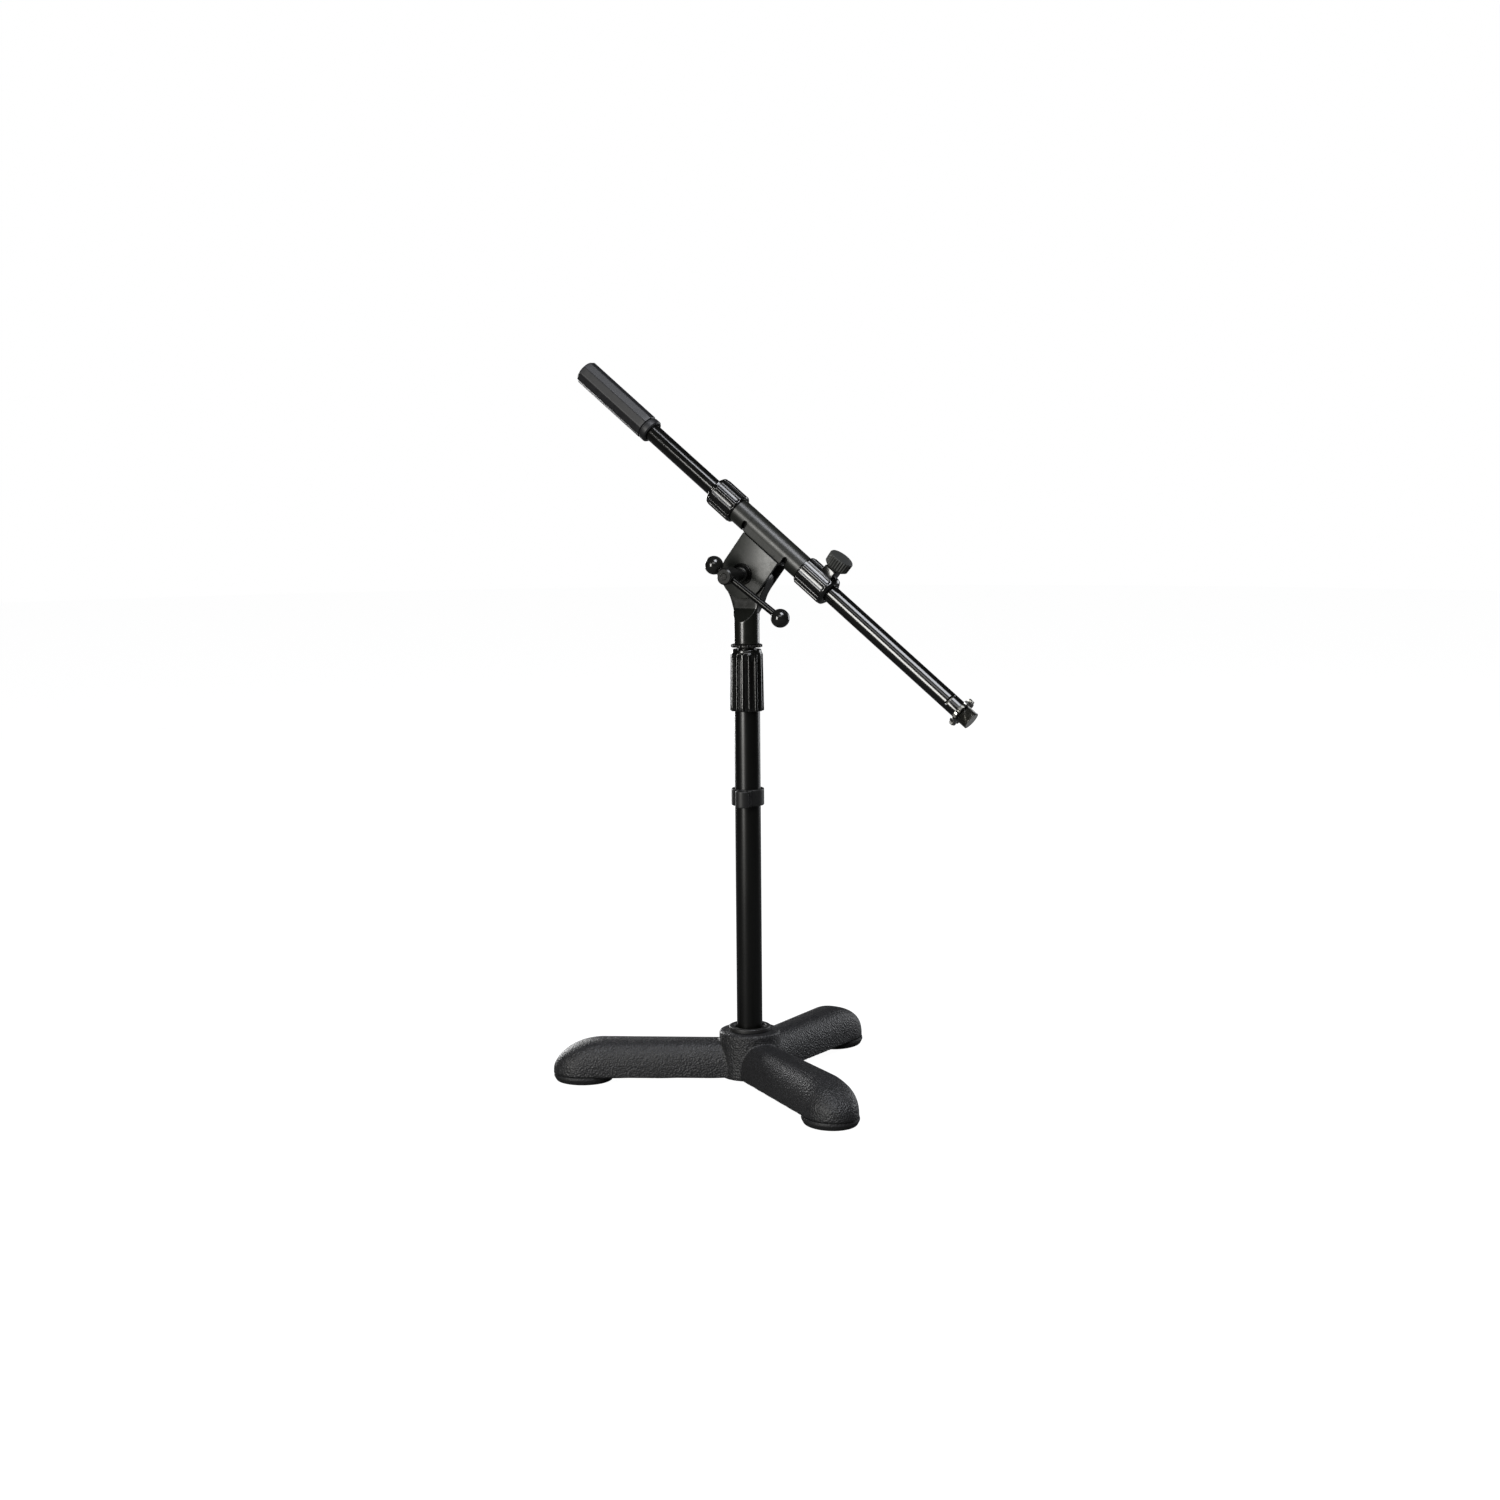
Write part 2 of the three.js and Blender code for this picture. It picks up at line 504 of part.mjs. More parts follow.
function frontCollar() {
  const [from, to] = FRONT_COLLAR;
  const ribbed = drawnUp(toothedOutline(12, 13.7, 12.6, 0.55, 0.1), from + 1.5, to - 3);
  const core = turned([[0, from], [12, from], [13, from + 1.5], [13, to - 3], [12.4, to - 1], [10.6, to], [0, to]]);
  const boss = block([KNOB_PLACE - 6.5, KNOB_PLACE + 5], [-6.5, 6.5], [9, KNOB_SPAN[0] - 1.6]);
  const bore = turned([[0, from - 1], [SLEEVE_RADIUS + GAP, from - 1], [SLEEVE_RADIUS + GAP, SLEEVE_FRONT + GAP],
    [ROD_RADIUS + GAP, SLEEVE_FRONT + GAP], [ROD_RADIUS + GAP, to + 1], [0, to + 1]]);
  const screwHole = rod(3.2, 5, 30, 16).translate(KNOB_PLACE, 0, 0);
  return cut(join(alongX(ribbed), alongX(core), boss), alongX(bore), screwHole);
}

function boomTube() {
  const tube = alongX(pipe(ROD_RADIUS - ROD_WALL, ROD_RADIUS, ROD_REAR, ROD_FRONT));
  const crimpPlace = ROD_FRONT - 11;
  const crimp = block([crimpPlace - 1.3, crimpPlace + 1.3], [-5.8, 5.8], [4.6, 9]);
  return cut(tube, crimp.rotateX(Math.PI / 4)); // halfway between the top and the clamp screw's side
}

function micStud() {
  const plug = ROD_RADIUS - ROD_WALL - GAP;
  const from = ROD_FRONT + GAP;
  return alongX(turned([[0, ROD_FRONT - 26], [plug, ROD_FRONT - 26], [plug, from], [THREAD_RADIUS, from],
    [THREAD_RADIUS, STUB_END - 1], [THREAD_RADIUS - 1, STUB_END], [0, STUB_END]]));
}

// A handle with flat sides over a steel weight, closed at its rear end.
function gripSleeve() {
  const [from, to] = GRIP_SPAN;
  const outside = turned([[0, from], [GRIP_RADIUS - 1, from], [GRIP_RADIUS, from + 1.5], [GRIP_RADIUS, to - 1],
    [GRIP_RADIUS - 0.8, to], [0, to]], 10);
  return alongX(cut(outside, rod(9.6, from + 3, to + 1)));
}

function counterweight() {
  const [from, to] = GRIP_SPAN;
  const rear = from + 3 + GAP;
  const socket = ROD_RADIUS + GAP;
  return alongX(turned([[0, rear], [9.3, rear], [9.3, to - 1], [socket, to - 1], [socket, ROD_REAR - GAP],
    [0, ROD_REAR - GAP]]));
}

function thumbKnob() {
  const [from, to] = KNOB_SPAN;
  const knurled = drawnUp(toothedOutline(24, KNOB_RADIUS, KNOB_RADIUS - 0.6, 0.4, 0.15), from + 1.5, to - 1.5);
  const core = turned([[0, from], [KNOB_RADIUS - 2.6, from], [KNOB_RADIUS - 0.8, from + 1.5],
    [KNOB_RADIUS - 0.8, to - 1.5], [KNOB_RADIUS - 2.2, to], [0, to]]);
  return cut(join(knurled, core), rod(3.2, from - 1, to - 3, 16));
}

function buildBoomLine(line) {
  piece(line, "boom_sleeve", boomSleeve(), BRACKET_PAINT);
  piece(line, "rear_collar", rearCollar(), GLOSS_PLASTIC);
  piece(line, "rear_collet", rearCollet(), NYLON);
  piece(line, "front_collar", frontCollar(), GLOSS_PLASTIC);
  const liner = pipe(ROD_RADIUS + GAP, SLEEVE_RADIUS - SLEEVE_WALL - GAP, SLEEVE_FRONT - 20, SLEEVE_FRONT);
  piece(line, "front_liner", alongX(liner), NYLON);

  piece(line, "thumb_knob", thumbKnob(), MATTE_PLASTIC).position.x = KNOB_PLACE;
  const thumbScrew = rod(2.9, ROD_RADIUS + GAP, KNOB_SPAN[1] - 3 - GAP, 16);
  piece(line, "thumb_screw", thumbScrew, DARK_STEEL).position.x = KNOB_PLACE;

  piece(line, "boom_tube", boomTube(), TUBE_PAINT);
  piece(line, "counterweight", counterweight(), DARK_STEEL);
  piece(line, "grip_sleeve", gripSleeve(), GRIP_PLASTIC);
  const gripFront = GRIP_SPAN[1] + GAP;
  const gripRing = turned([[ROD_RADIUS + GAP, gripFront], [10.8, gripFront], [10.8, GRIP_RING_FRONT - 1.5],
    [9.9, GRIP_RING_FRONT], [ROD_RADIUS + GAP, GRIP_RING_FRONT], [ROD_RADIUS + GAP, gripFront]]);
  piece(line, "grip_ring", alongX(gripRing), GRIP_PLASTIC);
  piece(line, "mic_stud", micStud(), BARE_STEEL);
  const ringFrom = ROD_FRONT + 2 * GAP;
  const micRing = cut(drawnUp(toothedOutline(12, MIC_RING_RADIUS, MIC_RING_RADIUS - 2), ringFrom, ringFrom + 3.4),
    rod(THREAD_RADIUS + GAP, ringFrom - 1, ringFrom + 5));
  piece(line, "mic_lock_ring", alongX(micRing), DARK_STEEL);
}

// ---------- Assembly ----------

// The head's X points along the boom seen from above, and its pivot lies along Y.
const stand = new THREE.Group();
buildBase(stand);
buildColumn(stand);
const head = group(stand, (made) => {
  made.rotation.z = rad(HEAD_YAW);
});
buildHead(head);
const bracket = group(head, (made) => {
  made.position.set(0, -BOOM_PLANE, PIVOT_HEIGHT);
  made.rotation.y = rad(BOOM_TILT);
});
buildBracket(bracket);
const line = group(bracket, (made) => {
  made.position.z = BOOM_RISE;
});
buildBoomLine(line);

const box = new THREE.Box3().setFromObject(stand);
const middle = box.getCenter(new THREE.Vector3());
stand.position.set(-middle.x, -middle.y, -box.min.z);

export default stand;
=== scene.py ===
"""Looks of the boom microphone stand: fine pieces, finishes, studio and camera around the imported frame."""
import json
import math

import bmesh
import bpy
import numpy as np
from mathutils import Matrix, Vector


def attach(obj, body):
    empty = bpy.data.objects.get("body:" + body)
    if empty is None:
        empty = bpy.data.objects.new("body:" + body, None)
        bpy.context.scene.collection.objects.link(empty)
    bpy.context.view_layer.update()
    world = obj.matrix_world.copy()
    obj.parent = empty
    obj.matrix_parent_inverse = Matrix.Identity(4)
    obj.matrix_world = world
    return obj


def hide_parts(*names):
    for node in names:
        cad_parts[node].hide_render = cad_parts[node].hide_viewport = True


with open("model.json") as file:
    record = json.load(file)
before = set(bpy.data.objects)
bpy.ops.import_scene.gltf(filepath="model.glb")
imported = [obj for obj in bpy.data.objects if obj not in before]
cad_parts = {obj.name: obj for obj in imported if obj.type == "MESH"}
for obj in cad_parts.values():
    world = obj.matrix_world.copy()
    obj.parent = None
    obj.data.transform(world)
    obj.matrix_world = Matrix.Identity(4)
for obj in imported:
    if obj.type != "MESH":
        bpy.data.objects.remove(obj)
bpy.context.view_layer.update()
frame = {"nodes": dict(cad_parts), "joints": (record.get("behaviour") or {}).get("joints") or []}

MM = 0.001
GAP = 0.3  # clearance between touching pieces, in millimetres
TAU = 2 * math.pi

# ---------- Where the moving parts are ----------

joints = {joint["name"]: joint for joint in frame["joints"]}


def axis_of(name):
    return Vector(joints[name]["axis"]).normalized()


def point_of(name):
    return Vector(joints[name]["pos_m"])


def placed(origin, x, z):
    """Matrix from millimetres in a local frame to the row frame in metres."""
    matrix = Matrix((x, z.cross(x), z)).transposed().to_4x4()
    matrix.translation = origin
    return matrix @ Matrix.Diagonal((MM, MM, MM, 1))


UP = Vector((0, 0, 1))
BOOM = axis_of("boom_rod_slide")  # towards the microphone end
ABOVE = axis_of("thumb_screw_turn")  # square to the boom, upwards
FORWARD = axis_of("boom_tilt")  # along the pivot, towards the clamp screw
LEVEL = Vector((BOOM.x, BOOM.y, 0)).normalized()
BAR_PLACE = 35.9  # T-bar, ahead of the boom's middle plane
column_foot = point_of("clutch_twist")
pivot = point_of("boom_tilt")
line = point_of("rear_collar_twist")

COLUMN = placed(column_foot, Vector((1, 0, 0)), UP)
HEAD = placed(column_foot, LEVEL, UP)  # Y points away from the clamp screw
BRACKET = placed(pivot, BOOM, ABOVE)
CLAMP = placed(pivot, BOOM, FORWARD)  # Z along the clamp screw
LINE = placed(line, BOOM, ABOVE)
LINE_TURNED = placed(line, ABOVE, BOOM)  # Z along the boom
KNOB = placed(line + BOOM * (point_of("thumb_screw_turn") - line).dot(BOOM), BOOM, ABOVE)
bar_along = -axis_of("tommy_bar_slide")
BAR = placed(pivot + FORWARD * BAR_PLACE * MM, FORWARD, bar_along)  # Z along the bar


def span(node, matrix, axis):
    """Lowest and highest coordinate of a CAD node along one local axis, in millimetres."""
    inverse = matrix.inverted()
    values = [(inverse @ vertex.co)[axis] for vertex in frame["nodes"][node].data.vertices]
    return min(values), max(values)


# ---------- Meshes ----------


def rounded(points, radius=0.4, steps=4):
    """An open outline with its corners turned into arcs; a point's third number is its own radius."""
    out = [tuple(points[0][:2])]
    for before, corner, after in zip(points, points[1:], points[2:]):
        wanted = corner[2] if len(corner) > 2 else radius
        here = Vector(corner[:2])
        to_before = Vector(before[:2]) - here
        to_after = Vector(after[:2]) - here
        turn = to_before.angle(to_after)
        if wanted <= 0 or turn > math.radians(176):
            out.append(tuple(here))
            continue
        reach = min(wanted / math.tan(turn / 2), to_before.length * 0.49, to_after.length * 0.49)
        start = here + to_before.normalized() * reach
        end = here + to_after.normalized() * reach
        for step in range(steps + 1):
            share = step / steps
            out.append(tuple(start * (1 - share) ** 2 + here * 2 * share * (1 - share) + end * share ** 2))
    out.append(tuple(points[-1][:2]))
    return out


def spread(points, longest):
    """The same outline with long edges divided."""
    out = [points[0]]
    for start, end in zip(points, points[1:]):
        parts = max(1, math.ceil(math.dist(start, end) / longest))
        for part in range(1, parts + 1):
            share = part / parts
            out.append(tuple(a + (b - a) * share for a, b in zip(start, end)))
    return out


def new_object(name, vertices, faces, matrix):
    """A mesh object in the row frame with merged vertices and outward faces."""
    mesh = bpy.data.meshes.new(name)
    mesh.from_pydata([tuple(v) for v in vertices], [], [tuple(int(i) for i in f) for f in faces])
    made = bmesh.new()
    made.from_mesh(mesh)
    bmesh.ops.remove_doubles(made, verts=made.verts, dist=1e-4)
    bmesh.ops.recalc_face_normals(made, faces=made.faces)
    made.to_mesh(mesh)
    made.free()
    mesh.transform(matrix)
    obj = bpy.data.objects.new(name, mesh)
    bpy.context.scene.collection.objects.link(obj)
    return obj


def smooth(obj, angle=35):
    obj.data.shade_smooth()
    obj.data.set_sharp_from_angle(angle=math.radians(angle))


def turned(name, matrix, outline, sides=96, shape=None, angle=35):
    """A solid turned about Z from (radius, height) points; shape(angle, radius, height) moves the radius."""
    radius, height = np.array([point[:2] for point in outline], float).T
    closes = math.dist(outline[0][:2], outline[-1][:2]) < 1e-9
    if closes:
        radius, height = radius[:-1], height[:-1]
    angles, radii = np.meshgrid(np.arange(sides) * TAU / sides, radius)
    heights = np.repeat(height[:, None], sides, axis=1)
    if shape is not None:
        radii = shape(angles, radii, heights)
    vertices = np.stack([radii * np.cos(angles), radii * np.sin(angles), heights], -1).reshape(-1, 3)
    rows = len(radius)
    faces = []
    for row in range(rows if closes else rows - 1):
        following = (row + 1) % rows
        for side in range(sides):
            beside = (side + 1) % sides
            faces.append((row * sides + side, row * sides + beside,
                          following * sides + beside, following * sides + side))
    obj = new_object(name, vertices, faces, matrix)
    smooth(obj, angle)
    return obj


def pipe_outline(inside, outside, bottom, top, radius=0.3):
    """A closed outline that starts in the middle of the bore."""
    middle = (bottom + top) / 2
    corners = [(inside, middle), (inside, bottom), (outside, bottom), (outside, top), (inside, top),
               (inside, middle)]
    return rounded(corners, radius)


def plate(name, matrix, outline, bottom, top, bevel=0.35):
    """A flat plate with rounded edges: an outline in X and Y drawn up Z."""
    count = len(outline)
    vertices = [(x, y, z) for z in (bottom, top) for x, y in outline]
    faces = [tuple(reversed(range(count))), tuple(range(count, 2 * count))]
    for i in range(count):
        j = (i + 1) % count
        faces.append((i, j, count + j, count + i))
    obj = new_object(name, vertices, faces, matrix)
    edge = obj.modifiers.new("edge", "BEVEL")
    edge.width = bevel * MM
    edge.segments = 3
    edge.limit_method = "ANGLE"
    edge.angle_limit = math.radians(40)
    settle(obj)
    smooth(obj, 30)
    return obj


def settle(obj):
    """Turns an object's modifiers into its mesh."""
    bpy.context.view_layer.update()
    evaluated = obj.evaluated_get(bpy.context.evaluated_depsgraph_get())
    mesh = bpy.data.meshes.new_from_object(evaluated)
    obj.modifiers.clear()
    obj.data = mesh


def cut_out(obj, tool):
    """Subtracts one closed mesh from another and removes the tool."""
    cut = obj.modifiers.new("cut", "BOOLEAN")
    cut.operation = "DIFFERENCE"
    cut.solver = "EXACT"
    cut.object = tool
    settle(obj)
    bpy.data.objects.remove(tool)


# ---------- Solids from fields ----------


def soft_max(a, b, k):
    h = np.clip(0.5 + 0.5 * (a - b) / k, 0, 1)
    return b * (1 - h) + a * h + k * h * (1 - h)


def soft_min(a, b, k):
    return -soft_max(-a, -b, k)


def lattice_faces(index, inside, axis):
    """Quads of a surface net across the lattice edges that run along one axis."""
    u, v = [other for other in range(3) if other != axis]
    here = [slice(None)] * 3
    ahead = [slice(None)] * 3
    here[axis] = slice(0, -1)
    ahead[axis] = slice(1, None)
    for other in (u, v):
        here[other] = slice(1, -1)
        ahead[other] = slice(1, -1)
    first = inside[tuple(here)]
    crossing = first != inside[tuple(ahead)]
    quads = []
    for du, dv in ((0, 0), (1, 0), (1, 1), (0, 1)):
        part = [slice(None)] * 3
        part[u] = slice(du, index.shape[u] - 1 + du)
        part[v] = slice(dv, index.shape[v] - 1 + dv)
        quads.append(index[tuple(part)][crossing])
    faces = np.stack(quads, 1)
    flip = first[crossing] != (axis == 1)
    faces[~flip] = faces[~flip][:, ::-1]
    return faces


def field_solid(name, matrix, value, low, high, step, keep=1.0):
    """A closed smooth mesh of the region where value(x, y, z) is below zero, from a surface net."""
    axes = [np.arange(a - 1.5 * step, b + 2.5 * step, step) for a, b in zip(low, high)]
    grid = np.meshgrid(*axes, indexing="ij")
    values = value(*grid)
    inside = values < 0
    shape = np.array(values.shape) - 1
    total = np.zeros((*shape, 3))
    count = np.zeros(shape)
    corner = [slice(0, -1), slice(1, None)]
    for axis in range(3):
        u, v = [other for other in range(3) if other != axis]
        for du in (0, 1):
            for dv in (0, 1):
                a = [None] * 3
                a[axis], a[u], a[v] = corner[0], corner[du], corner[dv]
                b = list(a)
                b[axis] = corner[1]
                a, b = tuple(a), tuple(b)
                crossing = inside[a] != inside[b]
                share = np.where(crossing, values[a] / np.where(crossing, values[a] - values[b], 1), 0)
                for k in range(3):
                    place = grid[k][a] + share * (grid[k][b] - grid[k][a])
                    total[..., k] += np.where(crossing, place, 0)
                count += crossing
    active = count > 0
    index = np.full(tuple(shape), -1)
    index[active] = np.arange(active.sum())
    points = total[active] / count[active][:, None]
    faces = np.concatenate([lattice_faces(index, inside, axis) for axis in range(3)])
    probe = step * 0.05
    for _ in range(4):
        here = value(*points.T)
        slope = np.stack([
            (value(*(points + offset).T) - value(*(points - offset).T)) / (2 * probe)
            for offset in np.eye(3) * probe], 1)
        move = here[:, None] * slope / np.maximum((slope ** 2).sum(1), 0.05)[:, None]
        length = np.linalg.norm(move, axis=1, keepdims=True)
        points -= move * np.minimum(1, 0.5 * step / np.maximum(length, 1e-9))
    obj = new_object(name, points, faces, matrix)
    if keep < 1:
        fewer = obj.modifiers.new("fewer", "DECIMATE")
        fewer.ratio = keep
        settle(obj)
    obj.data.shade_smooth()
    return obj


def radius_of(x, y):
    return np.sqrt(x * x + y * y)


# ---------- Finishes ----------


def value_of(color):
    """Linear colour from an sRGB hex string."""
    parts = [int(color[i:i + 2], 16) / 255 for i in (1, 3, 5)]
    return [c / 12.92 if c < 0.04045 else ((c + 0.055) / 1.055) ** 2.4 for c in parts] + [1]


class Finish:
    """A node material with a few helpers for procedural detail."""

    def __init__(self, name, color, roughness, metallic=0.0, specular=0.5):
        self.material = bpy.data.materials.new(name)
        self.material.use_nodes = True
        self.nodes = self.material.node_tree.nodes
        self.links = self.material.node_tree.links
        self.shader = self.nodes["Principled BSDF"]
        self.color = value_of(color)
        self.set("Base Color", self.color)
        self.set("Roughness", roughness)
        self.set("Metallic", metallic)
        self.set("Specular IOR Level", specular)
        self.place = self.nodes.new("ShaderNodeTexCoord").outputs["Object"]
        self.height = None

    def set(self, socket, value):
        self.shader.inputs[socket].default_value = value

    def noise(self, size, detail=3, rough=0.6, stretch=None):
        """Noise whose features are about size millimetres across."""
        node = self.nodes.new("ShaderNodeTexNoise")
        node.inputs["Scale"].default_value = 1 / (size * MM)
        node.inputs["Detail"].default_value = detail
        node.inputs["Roughness"].default_value = rough
        place = self.place
        if stretch is not None:
            mapping = self.nodes.new("ShaderNodeMapping")
            mapping.inputs["Scale"].default_value = stretch
            self.links.new(place, mapping.inputs["Vector"])
            place = mapping.outputs["Vector"]
        self.links.new(place, node.inputs["Vector"])
        return node.outputs["Fac"]

    def cells(self, size):
        """Rounded pebbles about size millimetres across."""
        node = self.nodes.new("ShaderNodeTexVoronoi")
        node.feature = "SMOOTH_F1"
        node.inputs["Scale"].default_value = 1 / (size * MM)
        node.inputs["Smoothness"].default_value = 0.6
        self.links.new(self.place, node.inputs["Vector"])
        return node.outputs["Distance"]

    def edges(self, low, high):
        """Bright on convex edges, where a finish is rubbed."""
        geometry = self.nodes.new("ShaderNodeNewGeometry")
        return self.ramp(geometry.outputs["Pointiness"], low, high)

    def ramp(self, source, low, high, start=0.0, end=1.0):
        node = self.nodes.new("ShaderNodeMapRange")
        node.inputs["From Min"].default_value = low
        node.inputs["From Max"].default_value = high
        node.inputs["To Min"].default_value = start
        node.inputs["To Max"].default_value = end
        self.links.new(source, node.inputs["Value"])
        return node.outputs["Result"]

    def times(self, a, b):
        node = self.nodes.new("ShaderNodeMath")
        node.operation = "MULTIPLY"
        self.links.new(a, node.inputs[0])
        self.links.new(b, node.inputs[1])
        return node.outputs[0]

    def tint(self, amount, color):
        """Mixes another colour in by an amount from 0 to 1."""
        node = self.nodes.new("ShaderNodeMix")
        node.data_type = "RGBA"
        source = self.shader.inputs["Base Color"]
        if source.is_linked:
            self.links.new(source.links[0].from_socket, node.inputs["A"])
        else:
            node.inputs["A"].default_value = self.color
        node.inputs["B"].default_value = value_of(color)
        self.links.new(amount, node.inputs["Factor"])
        self.links.new(node.outputs["Result"], source)

    def drive(self, socket, source, low, high, start, end):
        self.links.new(self.ramp(source, low, high, start, end), self.shader.inputs[socket])

    def bump(self, height, depth, strength):
        """Adds relief of a depth in millimetres on top of what is there."""
        node = self.nodes.new("ShaderNodeBump")
        node.inputs["Distance"].default_value = depth * MM
        node.inputs["Strength"].default_value = strength
        self.links.new(height, node.inputs["Height"])
        if self.height is not None:
            self.links.new(self.height, node.inputs["Normal"])
        self.height = node.outputs["Normal"]
        self.links.new(self.height, self.shader.inputs["Normal"])


def cast_powder():
    made = Finish("cast_powder", "#161617", 0.45, specular=0.42)
    pebbles = made.cells(1.5)
    patches = made.noise(16, 2)
    made.tint(made.ramp(patches, 0.35, 0.7), "#1a1a1b")
    # Lighter pebble centres: painted highlight on the powder grain, laid over the real pebbled relief.
    made.tint(made.ramp(pebbles, 0.45, 0.15, 0, 0.7), "#2c2c2e")
    made.tint(made.ramp(made.noise(1.1, 1), 0.52, 0.68, 0, 0.7), "#363638")
    made.drive("Roughness", made.noise(2, 2), 0.3, 0.7, 0.4, 0.56)
    made.bump(pebbles, 0.8, 0.8)
    made.bump(made.noise(0.9, 1), 0.2, 0.6)
    return made.material


def pad_rubber():
    made = Finish("pad_rubber", "#19191a", 0.55, specular=0.35)
    pebbles = made.cells(1.5)
    # Lighter pebble centres: painted highlight on the rubber's grain, copied from the casting.
    made.tint(made.ramp(pebbles, 0.45, 0.15, 0, 0.6), "#2a2a2c")
    made.bump(pebbles, 0.5, 0.7)
    return made.material


def tube_paint():
    made = Finish("tube_paint", "#060605", 0.3, specular=0.36)
    streaks = made.noise(9, 3, stretch=(1, 1, 0.12))
    made.tint(made.ramp(streaks, 0.4, 0.75, 0, 0.4), "#0c0c0c")
    made.drive("Roughness", streaks, 0.3, 0.75, 0.28, 0.34)
    made.bump(made.noise(1.5, 2), 0.004, 0.4)
    return made.material


def boom_paint():
    made = Finish("boom_paint", "#080807", 0.2, specular=0.55)
    patches = made.noise(8, 3)
    made.tint(made.ramp(patches, 0.4, 0.75, 0, 0.4), "#0e0e0d")
    made.drive("Roughness", patches, 0.3, 0.75, 0.13, 0.18)
    made.bump(made.noise(1.5, 2), 0.004, 0.4)
    return made.material


def head_paint_with_painted_shade():
    # Darker copy of the bracket paint: its darker base is painted shade for the swivel's neck; its lower
    # roughness is the finish.
    made = Finish("head_paint_with_painted_shade", "#0f100d", 0.24, specular=0.55)
    patches = made.noise(10, 3)
    made.tint(made.ramp(patches, 0.35, 0.7, 0, 0.5), "#131410")
    made.drive("Roughness", made.noise(4), 0.3, 0.7, 0.22, 0.27)
    made.bump(made.noise(1.2, 2), 0.005, 0.4)
    return made.material


def bracket_paint():
    made = Finish("bracket_paint", "#1b1c19", 0.34, specular=0.44)
    patches = made.noise(10, 3)
    made.tint(made.ramp(patches, 0.35, 0.7, 0, 0.5), "#20211d")
    made.tint(made.times(made.edges(0.54, 0.64), made.ramp(made.noise(2.5), 0.4, 0.6)), "#3c3c38")
    made.drive("Roughness", made.noise(4), 0.3, 0.7, 0.31, 0.37)
    made.bump(made.noise(1.2, 2), 0.006, 0.5)
    return made.material


def gloss_plastic():
    made = Finish("gloss_plastic", "#080807", 0.18, specular=0.62)
    scuffs = made.noise(5, 4)
    made.drive("Roughness", scuffs, 0.35, 0.7, 0.16, 0.22)
    made.tint(made.ramp(scuffs, 0.4, 0.75, 0, 0.4), "#0d0d0c")
    made.bump(made.noise(1.5, 2), 0.004, 0.4)
    return made.material


def ball_plastic():
    made = Finish("ball_plastic", "#141413", 0.15, specular=0.55)
    made.tint(made.ramp(made.noise(4, 3), 0.4, 0.75, 0, 0.4), "#1a1a18")
    made.drive("Roughness", made.noise(3, 4), 0.35, 0.7, 0.13, 0.18)
    return made.material


def matte_plastic():
    made = Finish("matte_plastic", "#181818", 0.48, specular=0.45)
    made.tint(made.ramp(made.noise(5), 0.4, 0.7, 0, 0.5), "#1f1f1f")
    made.bump(made.noise(1.0, 2), 0.015, 0.5)
    return made.material


def knob_plastic():
    made = Finish("knob_plastic", "#2f302e", 0.55, specular=0.4)
    made.tint(made.edges(0.52, 0.62), "#42433f")
    made.bump(made.noise(1.0, 2), 0.015, 0.5)
    return made.material


def grip_plastic():
    made = Finish("grip_plastic", "#1b1b1d", 0.42, specular=0.45)
    patches = made.noise(5, 3)
    made.tint(made.ramp(patches, 0.4, 0.7, 0, 0.4), "#222224")
    made.tint(made.times(made.edges(0.54, 0.64), made.ramp(patches, 0.4, 0.6)), "#3c3c3e")
    made.drive("Roughness", patches, 0.35, 0.7, 0.38, 0.48)
    made.bump(made.noise(1.2, 2), 0.008, 0.5)
    return made.material


def bar_steel():
    made = Finish("bar_steel", "#1b1b1a", 0.2, metallic=0.8)
    grain = made.noise(2.5, 3)
    made.tint(made.ramp(grain, 0.35, 0.7, 0, 0.5), "#131313")
    made.drive("Roughness", grain, 0.3, 0.7, 0.17, 0.24)
    return made.material


def nylon():
    made = Finish("nylon", "#3a3a3a", 0.5)
    made.bump(made.noise(1.0, 2), 0.02, 0.5)
    return made.material


def dark_steel():
    made = Finish("dark_steel", "#2c2c2b", 0.3, metallic=0.7)
    grain = made.noise(2.0, 4)
    made.tint(made.ramp(grain, 0.35, 0.7, 0, 0.5), "#1c1c1c")
    made.tint(made.times(made.edges(0.53, 0.6), made.ramp(grain, 0.3, 0.5)), "#6f6e6b")
    made.drive("Roughness", grain, 0.3, 0.7, 0.26, 0.38)
    made.bump(made.noise(1.0, 2), 0.006, 0.5)
    return made.material


def ring_steel():
    made = Finish("ring_steel", "#45443f", 0.3, metallic=0.95)
    grain = made.noise(1.5, 4)
    made.tint(made.ramp(grain, 0.4, 0.65), "#242422")
    made.tint(made.edges(0.51, 0.57), "#b5b4af")
    made.drive("Roughness", grain, 0.3, 0.7, 0.22, 0.38)
    return made.material


def stud_steel():
    made = Finish("stud_steel", "#45443f", 0.3, metallic=0.85)
    grain = made.noise(1.5, 3)
    made.tint(made.times(made.edges(0.5, 0.58), made.ramp(grain, 0.35, 0.6)), "#7d7c77")
    made.drive("Roughness", grain, 0.3, 0.7, 0.22, 0.36)
    return made.material


def bare_steel():
    made = Finish("bare_steel", "#ecebe7", 0.45, metallic=0.3)
    made.drive("Roughness", made.noise(0.8, 3, stretch=(1, 1, 8)), 0.3, 0.7, 0.4, 0.5)
    made.bump(made.noise(1.0, 2), 0.006, 0.5)
    return made.material


